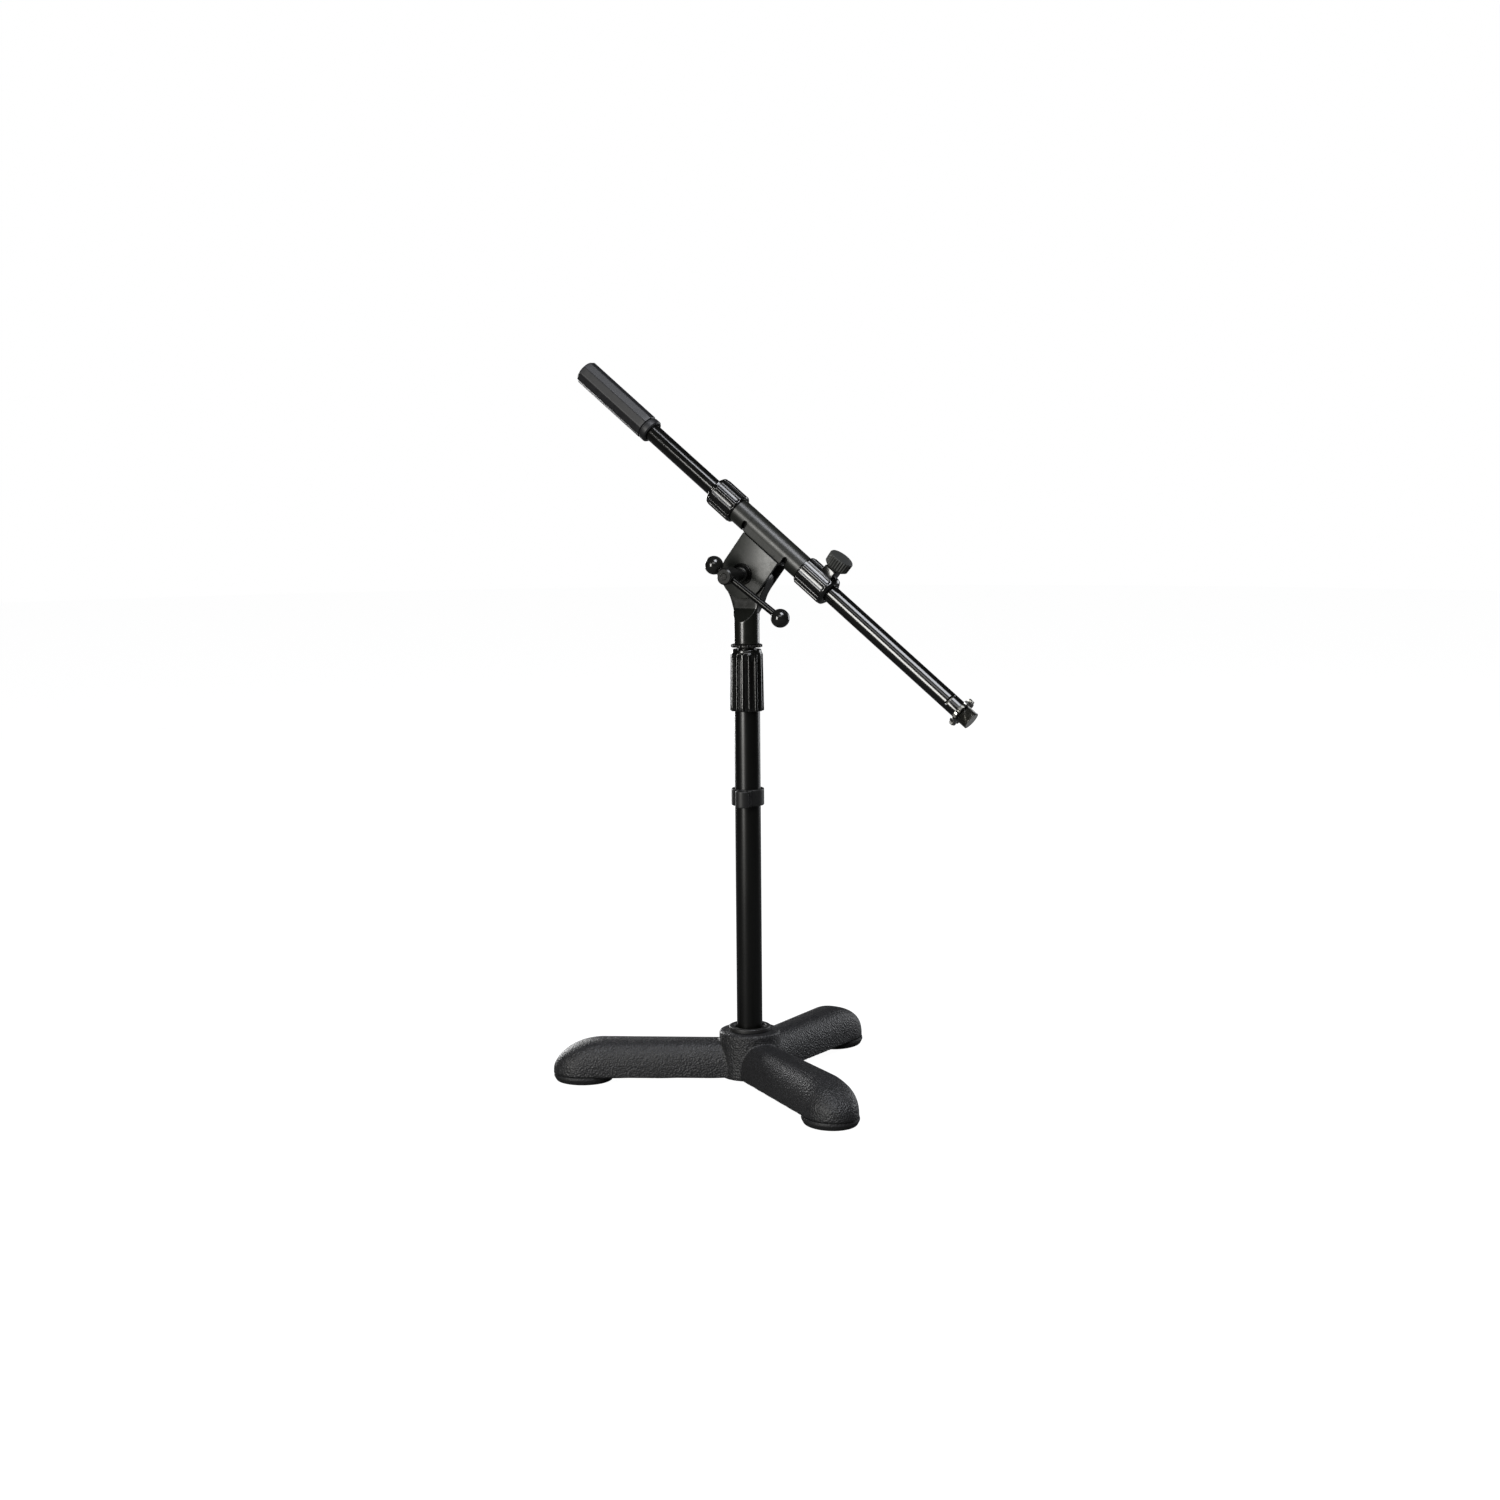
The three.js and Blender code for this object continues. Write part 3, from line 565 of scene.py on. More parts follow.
MAKERS = [cast_powder, pad_rubber, tube_paint, boom_paint, head_paint_with_painted_shade, bracket_paint, gloss_plastic,
          ball_plastic, matte_plastic, knob_plastic, grip_plastic, bar_steel, nylon, dark_steel,
          ring_steel, stud_steel, bare_steel]
finishes = {maker.__name__: maker() for maker in MAKERS}


def dress(obj, finish, body, slot, *nodes):
    """Gives a piece its finish and body, and lets it stand for CAD nodes. The slot argument is not used."""
    obj.data.materials.clear()
    obj.data.materials.append(finishes[finish])
    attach(obj, body)
    if nodes:
        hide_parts(*nodes)
    return obj


# ---------- Base ----------

PAD_TOP = 6.8
LEG_HALF_WIDTH = 18.2
LEG_FLARE = 4.6
LEG_HEIGHT = 31.2
LEG_TIP = 174.5
LEG_WALL = 6.5
TOE_START = 130.0
TIP_HEIGHT = 2.4
TOE_POWER = 1.85
ARCH_POWER = 2.7
PAD_REACH = 147.2
PAD_HALF_LENGTH = 27.0
PAD_HALF_WIDTH = 24.0
HUB_RADIUS = 26.8
HUB_BOTTOM = 5.8
HUB_TOP = 46.2
TUBE_RADIUS = 11.2
LEG_ANGLES = [180, -60, 60]


def arch(y, z, half_width, height):
    """A squarish half oval across a leg, in shares of its size, less one."""
    across = np.abs(y) / half_width
    above = np.abs(z - PAD_TOP) / height
    return (across ** ARCH_POWER + above ** ARCH_POWER) ** (1 / ARCH_POWER) - 1


def leg_raw(x, y, z):
    """A leg along X: widens to the toe, which is rounded in plan and in profile."""
    slope = np.clip((x - TOE_START) / (LEG_TIP - TOE_START), 0, 0.9995)
    fall = (1 - slope ** TOE_POWER) ** (1 / TOE_POWER)
    height = TIP_HEIGHT + (LEG_HEIGHT - TIP_HEIGHT) * fall
    past = np.clip((x - PAD_REACH) / (LEG_TIP - PAD_REACH), 0, 0.9995)
    flare = LEG_FLARE * np.clip(x / PAD_REACH, 0, 1)
    half_width = (LEG_HALF_WIDTH + flare) * np.sqrt(1 - past ** 2)
    return arch(y, z, half_width, height)


def in_distance(raw, x, y, z):
    """A field divided by its slope, so that it measures millimetres near its surface."""
    e = 0.05
    here = raw(x, y, z)
    slope = ((raw(x + e, y, z) - here) ** 2 + (raw(x, y + e, z) - here) ** 2
             + (raw(x, y, z + e) - here) ** 2) ** 0.5 / e
    return here / np.maximum(slope, 0.02)


def leg_field(x, y, z):
    body = in_distance(leg_raw, x, y, z)
    body = soft_max(body, x - LEG_TIP, 1.0)
    return soft_max(soft_max(body, PAD_TOP - z, 0.5), -x, 1)


def hollow_field(x, y, z):
    half_width = LEG_HALF_WIDTH - LEG_WALL
    body = arch(y, z, half_width, LEG_HEIGHT - LEG_WALL) * half_width
    return soft_max(body, np.maximum(HUB_RADIUS - 4 - x, x - 112), 3)


def casting_field(x, y, z):
    """Hub and three legs, blended with a small fillet and hollow underneath."""
    radius = radius_of(x, y)
    solid = soft_max(soft_max(radius - HUB_RADIUS, z - HUB_TOP, 2.6), HUB_BOTTOM - z, 1.2)
    hollow = soft_max(radius - 19, z - 20, 2)
    for angle in LEG_ANGLES:
        c, s = math.cos(math.radians(angle)), math.sin(math.radians(angle))
        along, across = x * c + y * s, y * c - x * s
        solid = soft_min(solid, leg_field(along, across, z), 0.7)
        hollow = soft_min(hollow, hollow_field(along, across, z), 2)
    bore = np.maximum(radius - TUBE_RADIUS - GAP, 26 - z)
    solid = soft_max(solid, -hollow, 1.2)
    return soft_max(soft_max(solid, -bore, 0.6), 5.2 - radius, 0.6)


def build_base():
    reach = LEG_TIP
    side = (PAD_REACH * math.sin(math.radians(60))) + PAD_HALF_LENGTH + 2
    casting = field_solid("cast_tripod", COLUMN, casting_field, (-reach, -side, HUB_BOTTOM),
                          (reach / 2 + PAD_HALF_WIDTH, side, HUB_TOP), 1.35, 0.6)
    dress(casting, "cast_powder", "base", "cast_powder", "base_casting")
    grooves = []
    for middle in (8, 13, 18):
        grooves += [(middle - 1.2, 0), (middle - 0.8, 0.7), (middle + 0.8, 0.7), (middle + 1.2, 0)]
    top = PAD_TOP - 0.05
    outline = rounded([(0, 0), *grooves, (PAD_HALF_WIDTH - 2.2, 0, 2.6), (PAD_HALF_WIDTH, 4.4, 2.6),
                       (PAD_HALF_WIDTH - 0.5, top, 0.3), (0, top)], 0.3)
    for number, angle in enumerate(LEG_ANGLES, 1):
        turn = Matrix.Rotation(math.radians(angle), 4, "Z")
        stretch = Matrix.Diagonal((PAD_HALF_LENGTH / PAD_HALF_WIDTH, 1, 1, 1))
        where = COLUMN @ turn @ Matrix.Translation((PAD_REACH, 0, 0)) @ stretch
        pad = turned(f"rubber_pad_{number}", where, outline)
        dress(pad, "pad_rubber", "base", "pad_rubber", f"foot_pad_{number}")
    low = HUB_TOP + GAP
    inside = TUBE_RADIUS + GAP
    ring = rounded([(12.6, low), (18.4, low, 0.3), (18.4, low + 3.6, 1.1), (14.4, low + 3.6, 0.5),
                    (13.9, low + 1.6, 0.5), (inside, low + 1.6, 0.3), (inside, low, 0.3), (12.6, low)], 0.4)
    dress(turned("hub_ring", COLUMN, ring), "matte_plastic", "base", "matte_plastic", "base_ring")


# ---------- Column ----------

CLUTCH_RIBS = 14
RING_TEETH = 12
STUD_PITCH = 0.94  # 27 turns to the inch
CLIP_AZIMUTH = -101
CLIP_HEIGHT = 14.5
CLIP_LOOP = 16.2  # column axis to the middle of the clip's loop
THREAD_BORE = 8.2  # clears the stud's thread


def ribs(count, depth, crest, fade_low, fade_high, fade=2.5, phase=0.0):
    """A radius change of round-topped ribs with flat grooves between, which run out softly at both ends."""
    def shape(angle, radius, height):
        share = np.abs(((angle / TAU * count + phase + 0.5) % 1) - 0.5) * 2
        rise = np.clip(1 - (share / crest) ** 3, 0, 1) ** 0.5
        ends = np.clip(np.minimum(height - fade_low, fade_high - height) / fade, 0, 1)
        ends = ends * ends * (3 - 2 * ends)
        outer = radius > (radius.max() * 0.88)
        return radius - depth * (1 - rise) * ends * outer
    return shape


def teeth(count, depth, share=0.5):
    """A radius change of square teeth with slightly sloping sides."""
    def shape(angle, radius, height):
        place = np.abs(((angle / TAU * count + 0.5) % 1) - 0.5) * 2
        gap = np.clip((place - share) / 0.14, 0, 1)
        outer = radius > (radius.max() * 0.75)
        return radius - depth * gap * outer
    return shape


def thread(pitch, depth, low, high, above):
    """A radius change of a screw thread between two heights, on radii over a limit."""
    def shape(angle, radius, height):
        turn = (height / pitch - angle / TAU) % 1
        groove = np.abs(turn * 2 - 1)
        ends = np.clip(np.minimum(height - low, high - height) / pitch, 0, 1)
        return radius - depth * groove * ends * (radius > above)
    return shape


def clip_field(x, y, z):
    """A snap-on band, open at the back, with a smaller loop for a cable."""
    band = radius_of(x, y) - 14.25
    lobe = radius_of(x - CLIP_LOOP, y) - 6.8
    solid = soft_min(band, lobe, 1.6)
    solid = soft_max(solid, np.abs(z - CLIP_HEIGHT / 2) - CLIP_HEIGHT / 2, 0.9)
    bore = radius_of(x, y) - TUBE_RADIUS - GAP
    loop = radius_of(x - CLIP_LOOP, y) - 3.9
    mouth = soft_max(np.maximum(CLIP_LOOP - x, x - CLIP_LOOP - 3), -y, 0.6)
    wedge = (26 * x + 30 * np.abs(y)) / 39.7
    solid = soft_max(solid, -bore, 0.6)
    solid = soft_max(solid, -loop, 0.6)
    solid = soft_max(solid, -mouth, 0.6)
    return soft_max(solid, -wedge, 0.8)


def build_column():
    low, high = span("column_tube", COLUMN, 2)
    tube = turned("column_tube_fine", COLUMN, pipe_outline(TUBE_RADIUS - 1.2, TUBE_RADIUS, low, high, 0.4))
    dress(tube, "tube_paint", "base", "tube_paint", "column_tube")
    low, high = span("riser_tube", COLUMN, 2)
    riser = turned("riser_tube_fine", COLUMN, pipe_outline(6.75, 7.95, low, high, 0.3))
    dress(riser, "tube_paint", "riser", "tube_paint", "riser_tube")

    low, _ = span("cable_clip", COLUMN, 2)
    turn = Matrix.Rotation(math.radians(CLIP_AZIMUTH), 4, "Z")
    where = COLUMN @ Matrix.Translation((0, 0, low)) @ turn
    clip = field_solid("clip_band", where, clip_field, (-15, -15, 0), (24, 15, CLIP_HEIGHT), 0.5, 0.5)
    dress(clip, "matte_plastic", "clip", "matte_plastic", "cable_clip")

    low, high = span("clutch_grip", COLUMN, 2)
    shoulder = high - 3.6
    outline = rounded([(12.1, low + 10), (12.1, low, 0.5), (14.75, low, 1.0), (14.0, shoulder - 0.5, 1.4),
                       (12.9, shoulder + 1.5, 0.6), (12.5, high, 0.6), (8.4, high, 0.4), (8.4, high - 2.8),
                       (9.8, high - 2.8), (12.1, high - 12), (12.1, low + 10)], 0.3)
    shape = ribs(CLUTCH_RIBS, 1.5, 0.52, low - 3, shoulder + 0.4, 2.0)
    grip = turned("clutch_fine", COLUMN, spread(outline, 3.0), CLUTCH_RIBS * 18, shape, 50)
    dress(grip, "gloss_plastic", "clutch", "gloss_plastic", "clutch_grip")

    low, high = span("riser_stud", COLUMN, 2)
    shoulder = high - 18.4
    stud = rounded([(0, low), (6.4, low, 0.3), (6.4, shoulder), (7.9, shoulder), (7.9, high, 0.8),
                    (0, high)], 0.2)
    stud = turned("riser_stud_fine", COLUMN, spread(stud, 0.2), 48,
                  thread(STUD_PITCH, 0.5, shoulder, high, 7))
    dress(stud, "dark_steel", "riser", "dark_steel", "riser_stud")
    lock_ring("column_ring_fine", COLUMN, "column_lock_ring", 13.6, 2.2, "dark_steel")


def lock_ring(name, matrix, node, radius, depth, finish):
    """A thin toothed steel ring; its bore clears the thread."""
    low, high = span(node, matrix, 2)
    middle = (low + high) / 2
    bore = THREAD_BORE
    outline = rounded([(bore, middle), (bore, low, 0.3), (radius, low, 0.45), (radius, high, 0.45),
                       (bore, high, 0.3), (bore, middle)], 0.3, 3)
    ring = turned(name, matrix, outline, RING_TEETH * 16, teeth(RING_TEETH, depth), 40)
    dress(ring, finish, node, "dark_steel", node)


# ---------- Swivel head ----------

NECK_RADIUS = 11.15
NECK_BOTTOM = span("swivel_socket", HEAD, 2)[0]
PIVOT_HEIGHT = (pivot.z - column_foot.z) / MM
TONGUE_RADIUS = 22
TONGUE_FRONT = 2.8
TONGUE_BACK = -10.6
SHOULDER = 420
SCREW_HOLE = 4.3


def swivel_field(x, y, z):
    """A round neck that thins to a flat round tongue, with a scoop in front."""
    front = -y
    neck = np.maximum(radius_of(x, y) - NECK_RADIUS, z - SHOULDER - 4)
    above = z - PIVOT_HEIGHT
    disc = radius_of(x, above) - TONGUE_RADIUS
    rise = np.clip((z - (SHOULDER - 10)) / (PIVOT_HEIGHT - 12 - SHOULDER + 10), 0, 1)
    half = NECK_RADIUS - 0.2 + (TONGUE_RADIUS * 0.86 - NECK_RADIUS) * rise ** 1.9
    web = np.maximum(np.abs(x) - half, np.maximum(SHOULDER - 12 - z, above + 9)) * 0.9
    outline = soft_min(disc, web, 2.5)
    slab = soft_max(outline, np.maximum(front - TONGUE_FRONT, TONGUE_BACK - front), 0.8)
    slab = soft_max(slab, radius_of(x, y) - NECK_RADIUS - np.maximum(z - 414, 0) * 0.62, 1.0)
    scoop_face = (front - TONGUE_FRONT) * 0.79 + (z - 418) * 0.61
    solid = soft_min(neck, slab, 0.8)
    solid = soft_max(solid, soft_min(front - TONGUE_FRONT, scoop_face, 0.8), 0.4)
    return soft_max(soft_max(solid, SCREW_HOLE - radius_of(x, above), 0.4), NECK_BOTTOM - z, 1.0)


def build_swivel():
    def bored(x, y, z):
        bore = soft_max(radius_of(x, y) - THREAD_BORE, z - NECK_BOTTOM - 15, 0.6)
        return soft_max(swivel_field(x, y, z), -bore, 0.5)
    top = PIVOT_HEIGHT + TONGUE_RADIUS
    swivel = field_solid("swivel_fine", HEAD, bored, (-TONGUE_RADIUS, -12, NECK_BOTTOM),
                         (TONGUE_RADIUS, 12, top), 0.6, 0.45)
    # The swivel wears the darker copy of the bracket paint, which paints in the shade on its neck.
    dress(swivel, "head_paint_with_painted_shade", "swivel", "bracket_paint", "swivel_socket")


# ---------- Boom bracket and clamp ----------

BOOM_RISE = 37.1
SKIRT_DEPTH = 7.4
CHEEK_HALF_LENGTH = 21
CHEEK_OUTSIDE = 10.9
CHEEK_THICKNESS = 2.5
BRACKET_TOP = BOOM_RISE - SKIRT_DEPTH - 0.6
CLAMP_PITCH = 1.25
BALL_RADIUS = 8
BOSS_RADIUS = 7.25
BOSS_SPAN = (28.2, 43.0)  # along the clamp screw, round the T-bar
BAR_HOLE = 3.3
NUT_SPAN = (-CHEEK_OUTSIDE - 8.5, -CHEEK_OUTSIDE - 2)
SCREW_TIP = -21.5


def build_bracket():
    half = CHEEK_HALF_LENGTH
    arc = [(half * math.cos(a), half * math.sin(a)) for a in np.linspace(math.pi, TAU, 49)]
    outline = [(-half, BRACKET_TOP), *arc, (half, BRACKET_TOP)]
    inner = CHEEK_OUTSIDE - CHEEK_THICKNESS
    for name, low, high in (("cheek_near", inner, CHEEK_OUTSIDE), ("cheek_far", -CHEEK_OUTSIDE, -inner)):
        cheek = plate(name, CLAMP, outline, low, high, 0.4)
        hole = turned("hole", CLAMP, rounded([(0, low - 2), (SCREW_HOLE, low - 2), (SCREW_HOLE, high + 2),
                                              (0, high + 2)], 0), 48)
        cut_out(cheek, hole)
        smooth(cheek, 30)
        dress(cheek, "bracket_paint", "bracket", "bracket_paint", "boom_bracket")
    web = [(-half, -inner - 0.5), (half, -inner - 0.5), (half, inner + 0.5), (-half, inner + 0.5)]
    web = plate("bracket_web", BRACKET, web, BRACKET_TOP - 2.4, BRACKET_TOP - 0.05, 0.3)
    dress(web, "bracket_paint", "bracket", "bracket_paint")


def washer(name, inside, outside, low, high, node):
    outline = pipe_outline(inside, outside, low, high, 0.35)
    dress(turned(name, CLAMP, outline), "bar_steel", "bracket", "dark_steel", node)


def build_clamp():
    outer = CHEEK_OUTSIDE
    washer("washer_near", 4.3, 9.5, outer + 0.2, outer + 1.8, "pivot_washer")
    washer("washer_far", 4.3, 9.5, -outer - 1.7, -outer - GAP, "rear_pivot_washer")

    def hexagon(angle, radius, height):
        flat = 0.866 / np.cos((angle + math.pi / 6) % (math.pi / 3) - math.pi / 6)
        chamfer = np.clip(np.minimum(height - NUT_SPAN[0], NUT_SPAN[1] - height) / 1.2, 0, 1)
        limit = 6.7 + 0.8 * chamfer
        return np.where(radius > 6, np.minimum(radius * flat, limit), radius)
    nut_outline = spread(pipe_outline(4.2, 7.5, *NUT_SPAN, 0.2), 0.6)
    nut = turned("clamp_nut", CLAMP, nut_outline, 96, hexagon, 30)
    dress(nut, "dark_steel", "bracket", "dark_steel", "pivot_nut")

    low, high = BOSS_SPAN
    boss = BOSS_RADIUS
    outline = rounded([(0, SCREW_TIP), (3.9, SCREW_TIP, 0.8), (3.9, 13), (6.6, 13, 0.4), (6.6, 15.4, 0.7),
                       (5, 15.6, 0.3), (5, low - 2.2), (4.4, low - 1.6, 0.3), (4.4, low - 0.6, 0.3),
                       (5.6, low, 0.2), (boss, low, 0.7), (boss, high - 1.3, 0.2), (boss - 1.2, high, 0.2),
                       (3.2, high, 0.2), (2.6, high - 0.35, 0.3), (0, high - 0.35)], 0.3)
    screw = turned("clamp_screw_fine", CLAMP, spread(outline, 0.3), 72,
                   thread(CLAMP_PITCH, 0.6, SCREW_TIP, -outer - 4, 3.5))
    hole = turned("hole", BAR, [(0, -12), (BAR_HOLE, -12), (BAR_HOLE, 12), (0, 12)], 48)
    cut_out(screw, hole)
    smooth(screw, 35)
    dress(screw, "dark_steel", "clamp_screw", "dark_steel", "clamp_screw")

    first, last = span("bar_ball_rear", BAR, 2), span("bar_ball_front", BAR, 2)
    bar = rounded([(0, first[0] + 9), (3, first[0] + 9, 0.3), (3, last[1] - 9, 0.3), (0, last[1] - 9)], 0.3)
    dress(turned("t_bar", BAR, spread(bar, 6), 64), "bar_steel", "tommy_bar", "dark_steel", "tommy_bar")
    bore = 3.05
    opening = math.asin(3.45 / BALL_RADIUS)
    for name, node, ends, inward in (("ball_near_boss", "bar_ball_rear", first, 1),
                                     ("ball_far", "bar_ball_front", last, -1)):
        middle = (ends[0] + ends[1]) / 2
        arc = [(BALL_RADIUS * math.sin(a), middle + inward * BALL_RADIUS * math.cos(a))
               for a in np.linspace(opening, math.pi, 40)]
        arc[-1] = (0, middle - inward * BALL_RADIUS)
        neck = middle + inward * BALL_RADIUS * math.cos(opening)
        hole = [(0, middle + inward * 2), (bore, middle + inward * 2), (bore, neck - inward * 0.15)]
        outline = [*hole, *arc]
        dress(turned(name, BAR, outline, 72), "ball_plastic", "tommy_bar", "gloss_plastic", node)


# ---------- Sleeve, collars and sliding rod ----------

ROD_RADIUS = 7.62
SLEEVE_RADIUS = 10.8
SLEEVE_WALL = 1.4
SLEEVE_ENDS = span("boom_sleeve", LINE, 0)
SLOT_PLACE = 24.5
SLOT_HALF_WIDTH = 1.9
COLLAR_RIBS = 12


def sleeve_field(x, y, z):
    """A tube opened underneath between two cross slots into flat sides that meet the bracket."""
    inside = SLEEVE_RADIUS - SLEEVE_WALL
    skirt = SLOT_PLACE - SLOT_HALF_WIDTH
    tube = radius_of(y, z)
    wall = soft_max(tube - SLEEVE_RADIUS, inside - tube, 0.4)
    upper = radius_of(y, np.maximum(z, 0))
    skirted = soft_max(soft_max(upper - SLEEVE_RADIUS, inside - upper, 0.4), -SKIRT_DEPTH - z, 0.6)
    skirted = soft_max(skirted, np.abs(x) - skirt, 0.6)
    slot_end = radius_of(np.abs(x) - SLOT_PLACE, z + 1.3) - SLOT_HALF_WIDTH
    slot = np.maximum(np.abs(np.abs(x) - SLOT_PLACE) - SLOT_HALF_WIDTH, z + 1.3)
    opening = np.minimum(slot_end, slot)
    middle = np.maximum(np.abs(x) - skirt + 0.5, z + 1.3)
    wall = soft_max(wall, -np.minimum(opening, middle), 0.5)
    solid = soft_min(wall, skirted, 0.1)
    solid = soft_max(solid, -opening, 0.5)
    return soft_max(solid, np.maximum(SLEEVE_ENDS[0] - x, x - SLEEVE_ENDS[1]), 0.5)


def rear_collar_outline():
    low, high = span("rear_collar", LINE_TURNED, 2)
    bore = ROD_RADIUS + GAP
    return low, high, rounded([(11.1, high - 12), (11.1, low + 4.6), (bore, low + 2.4), (bore, low, 0.5),
                               (10.8, low, 0.5), (12.9, low + 1.3, 1.2), (13.6, low + 4, 1.5),
                               (13.6, high - 1.2, 0.6), (12.6, high, 0.5), (11.1, high, 0.3),
                               (11.1, high - 12)], 0.3)


def front_collar_outline():
    low, high = span("front_collar", LINE_TURNED, 2)
    bore, fit = ROD_RADIUS + GAP, SLEEVE_RADIUS + GAP
    return low, high, rounded([(fit, low + 8), (fit, low, 0.3), (12.4, low, 0.5), (13.5, low + 1.6, 0.7),
                               (13.5, high - 4, 1.2), (12.8, high - 1.4, 1.0), (10.8, high, 0.6),
                               (bore, high, 0.4), (bore, SLEEVE_ENDS[1] + 0.8), (fit, SLEEVE_ENDS[1] + 0.3),
                               (fit, low + 8)], 0.3)


def build_line():
    sleeve = field_solid("sleeve_fine", LINE, sleeve_field, (SLEEVE_ENDS[0], -11, -11),
                         (SLEEVE_ENDS[1], 11, 11), 0.45, 0.35)
    dress(sleeve, "bracket_paint", "bracket", "bracket_paint", "boom_sleeve")

    low, high, outline = rear_collar_outline()
    shape = ribs(COLLAR_RIBS, 1.15, 0.55, low + 1.8, high - 0.2, 1.6)
    collar = turned("rear_collar_fine", LINE_TURNED, spread(outline, 1.2), COLLAR_RIBS * 18, shape, 50)
    dress(collar, "gloss_plastic", "rear_collar", "gloss_plastic", "rear_collar")
    low, high, outline = front_collar_outline()
    shape = ribs(COLLAR_RIBS, 1.15, 0.55, low + 0.2, high - 2.6, 1.6)
    collar = turned("front_collar_fine", LINE_TURNED, spread(outline, 1.2), COLLAR_RIBS * 18, shape, 50)
    dress(collar, "gloss_plastic", "bracket", "gloss_plastic", "front_collar")
    boss = [(-6.5, -6.5), (5, -6.5), (5, 6.5), (-6.5, 6.5)]
    boss = plate("knob_boss", KNOB, boss, 9, 18.9, 0.8)
    dress(boss, "gloss_plastic", "bracket", "gloss_plastic")

    build_knob()
    build_rod()


KNOB_RADIUS = 11.2
KNOB_KNURLS = 26
KNOB_PITCH = 1.0


def build_knob():
    low, high = span("thumb_knob", KNOB, 2)
    low -= 0.7  # the skirt, which the plain solid leaves out
    radius = KNOB_RADIUS
    outline = rounded([(0, low), (8.2, low, 0.4), (radius - 0.3, low + 2.2, 0.8), (radius, high - 2.2, 0.8),
                       (radius - 0.7, high - 1.1, 0.9), (6, high - 0.25, 3), (0, high)], 0.4)

    def knurl(angle, r, height):
        share = np.abs(((angle / TAU * KNOB_KNURLS + 0.5) % 1) - 0.5) * 2
        groove = np.clip(share, 0, 1) ** 1.6
        ends = np.clip(np.minimum(height - low - 0.6, high - 1.0 - height) / 1.2, 0, 1)
        return r - 0.95 * groove * ends * (r > 8.5)
    knob = turned("knob_fine", KNOB, spread(outline, 1.0), KNOB_KNURLS * 10, knurl, 50)
    dress(knob, "knob_plastic", "thumb_screw", "matte_plastic", "thumb_knob")
    bottom, top = span("thumb_screw", KNOB, 2)
    screw = spread(rounded([(0, bottom), (2.9, bottom, 0.5), (2.9, top, 0.3), (0, top)], 0.3), 0.2)
    screw = turned("knob_screw", KNOB, screw, 48, thread(KNOB_PITCH, 0.45, bottom, low - 0.5, 2))
    dress(screw, "dark_steel", "thumb_screw", "dark_steel", "thumb_screw")


def build_rod():
    low, high = span("boom_tube", LINE_TURNED, 2)
    tube = turned("boom_tube_fine", LINE_TURNED,
                  spread(pipe_outline(ROD_RADIUS - 1.2, ROD_RADIUS, low, high, 0.35), 20))
    place = high - 11
    aside = LINE @ Matrix.Rotation(math.radians(45), 4, "X")  # towards the clamp screw's side
    corners = [(place - 1.3, -6.5), (place + 1.3, -6.5), (place + 1.3, 6.5), (place - 1.3, 6.5)]
    cut_out(tube, plate("slot", aside, corners, 3.4, 9, 0.5))
    smooth(tube, 30)
    dress(tube, "boom_paint", "boom_rod", "tube_paint", "boom_tube")

    start, end = span("mic_stud", LINE_TURNED, 2)
    stud = rounded([(0, start), (6.1, start, 0.4), (6.1, high + GAP), (7.9, high + GAP),
                    (7.9, end - 0.05, 0.9), (7.2, end, 0.2), (7.0, end, 0), (6.9, end - 0.5),
                    (0, end - 0.5)], 0.2)
    stud = turned("mic_thread", LINE_TURNED, spread(stud, 0.16), 72,
                  thread(STUD_PITCH, 0.55, high + 1, end - 0.2, 7.3), 60)
    cut_out(stud, plate("slot", aside, corners, 3.4, 9, 0.5))
    smooth(stud, 60)
    dress(stud, "stud_steel", "boom_rod", "stud_steel", "mic_stud")
    face = [(0, end - 0.6), (6.85, end - 0.6), (6.85, end - 0.02, 0.25), (0, end - 0.02)]
    face = turned("mic_end_face", LINE_TURNED, rounded(face, 0.2))
    dress(face, "bare_steel", "boom_rod", "stud_steel")
    lock_ring("mic_ring_fine", LINE_TURNED, "mic_lock_ring", 13.5, 2.9, "ring_steel")
    build_grip()


GRIP_FLATS = 10


def build_grip():
    low, high = span("grip_sleeve", LINE_TURNED, 2)
    corner = 11.2
    outline = rounded([(0, low), (corner - 1.3, low, 0.3), (corner, low + 1.2, 0.7),
                       (corner, high - 0.6, 0.5), (corner - 1.0, high, 0.3), (9.6, high, 0.2),
                       (9.6, low + 3), (0, low + 3)], 0.3)

    def flats(angle, radius, height):
        step = TAU / GRIP_FLATS
        off = (angle + step / 2) % step - step / 2
        flat = math.cos(step / 2) / np.cos(off)
        limit = corner - 0.14
        return np.where(radius > 9.8, np.minimum(radius * flat, limit), radius)
    grip = turned("grip_fine", LINE_TURNED, spread(outline, 4), GRIP_FLATS * 16, flats, 50)
    dress(grip, "grip_plastic", "boom_rod", "grip_plastic", "grip_sleeve")
    low, high = span("grip_ring", LINE_TURNED, 2)
    bore = ROD_RADIUS + GAP
    middle = (low + high) / 2
    ring = rounded([(bore, middle), (bore, low, 0.2), (10.1, low, 0.2), (10.1, low + 1.0, 0.2),
                    (10.8, low + 1.4, 0.3), (10.8, high - 1.2, 0.6), (9.8, high, 0.5), (bore, high, 0.3),
                    (bore, middle)], 0.3)
    ring = turned("grip_ring_fine", LINE_TURNED, ring)
    dress(ring, "grip_plastic", "boom_rod", "grip_plastic", "grip_ring")


# ---------- CAD nodes that stay ----------

INSIDE = {
    "nylon": ["clutch_core", "clutch_collet", "riser_bushing", "friction_disc_front", "friction_disc_rear",
              "rear_collet", "front_liner"],
    "dark_steel": ["base_bolt", "base_washer", "tube_plug", "counterweight"],
}


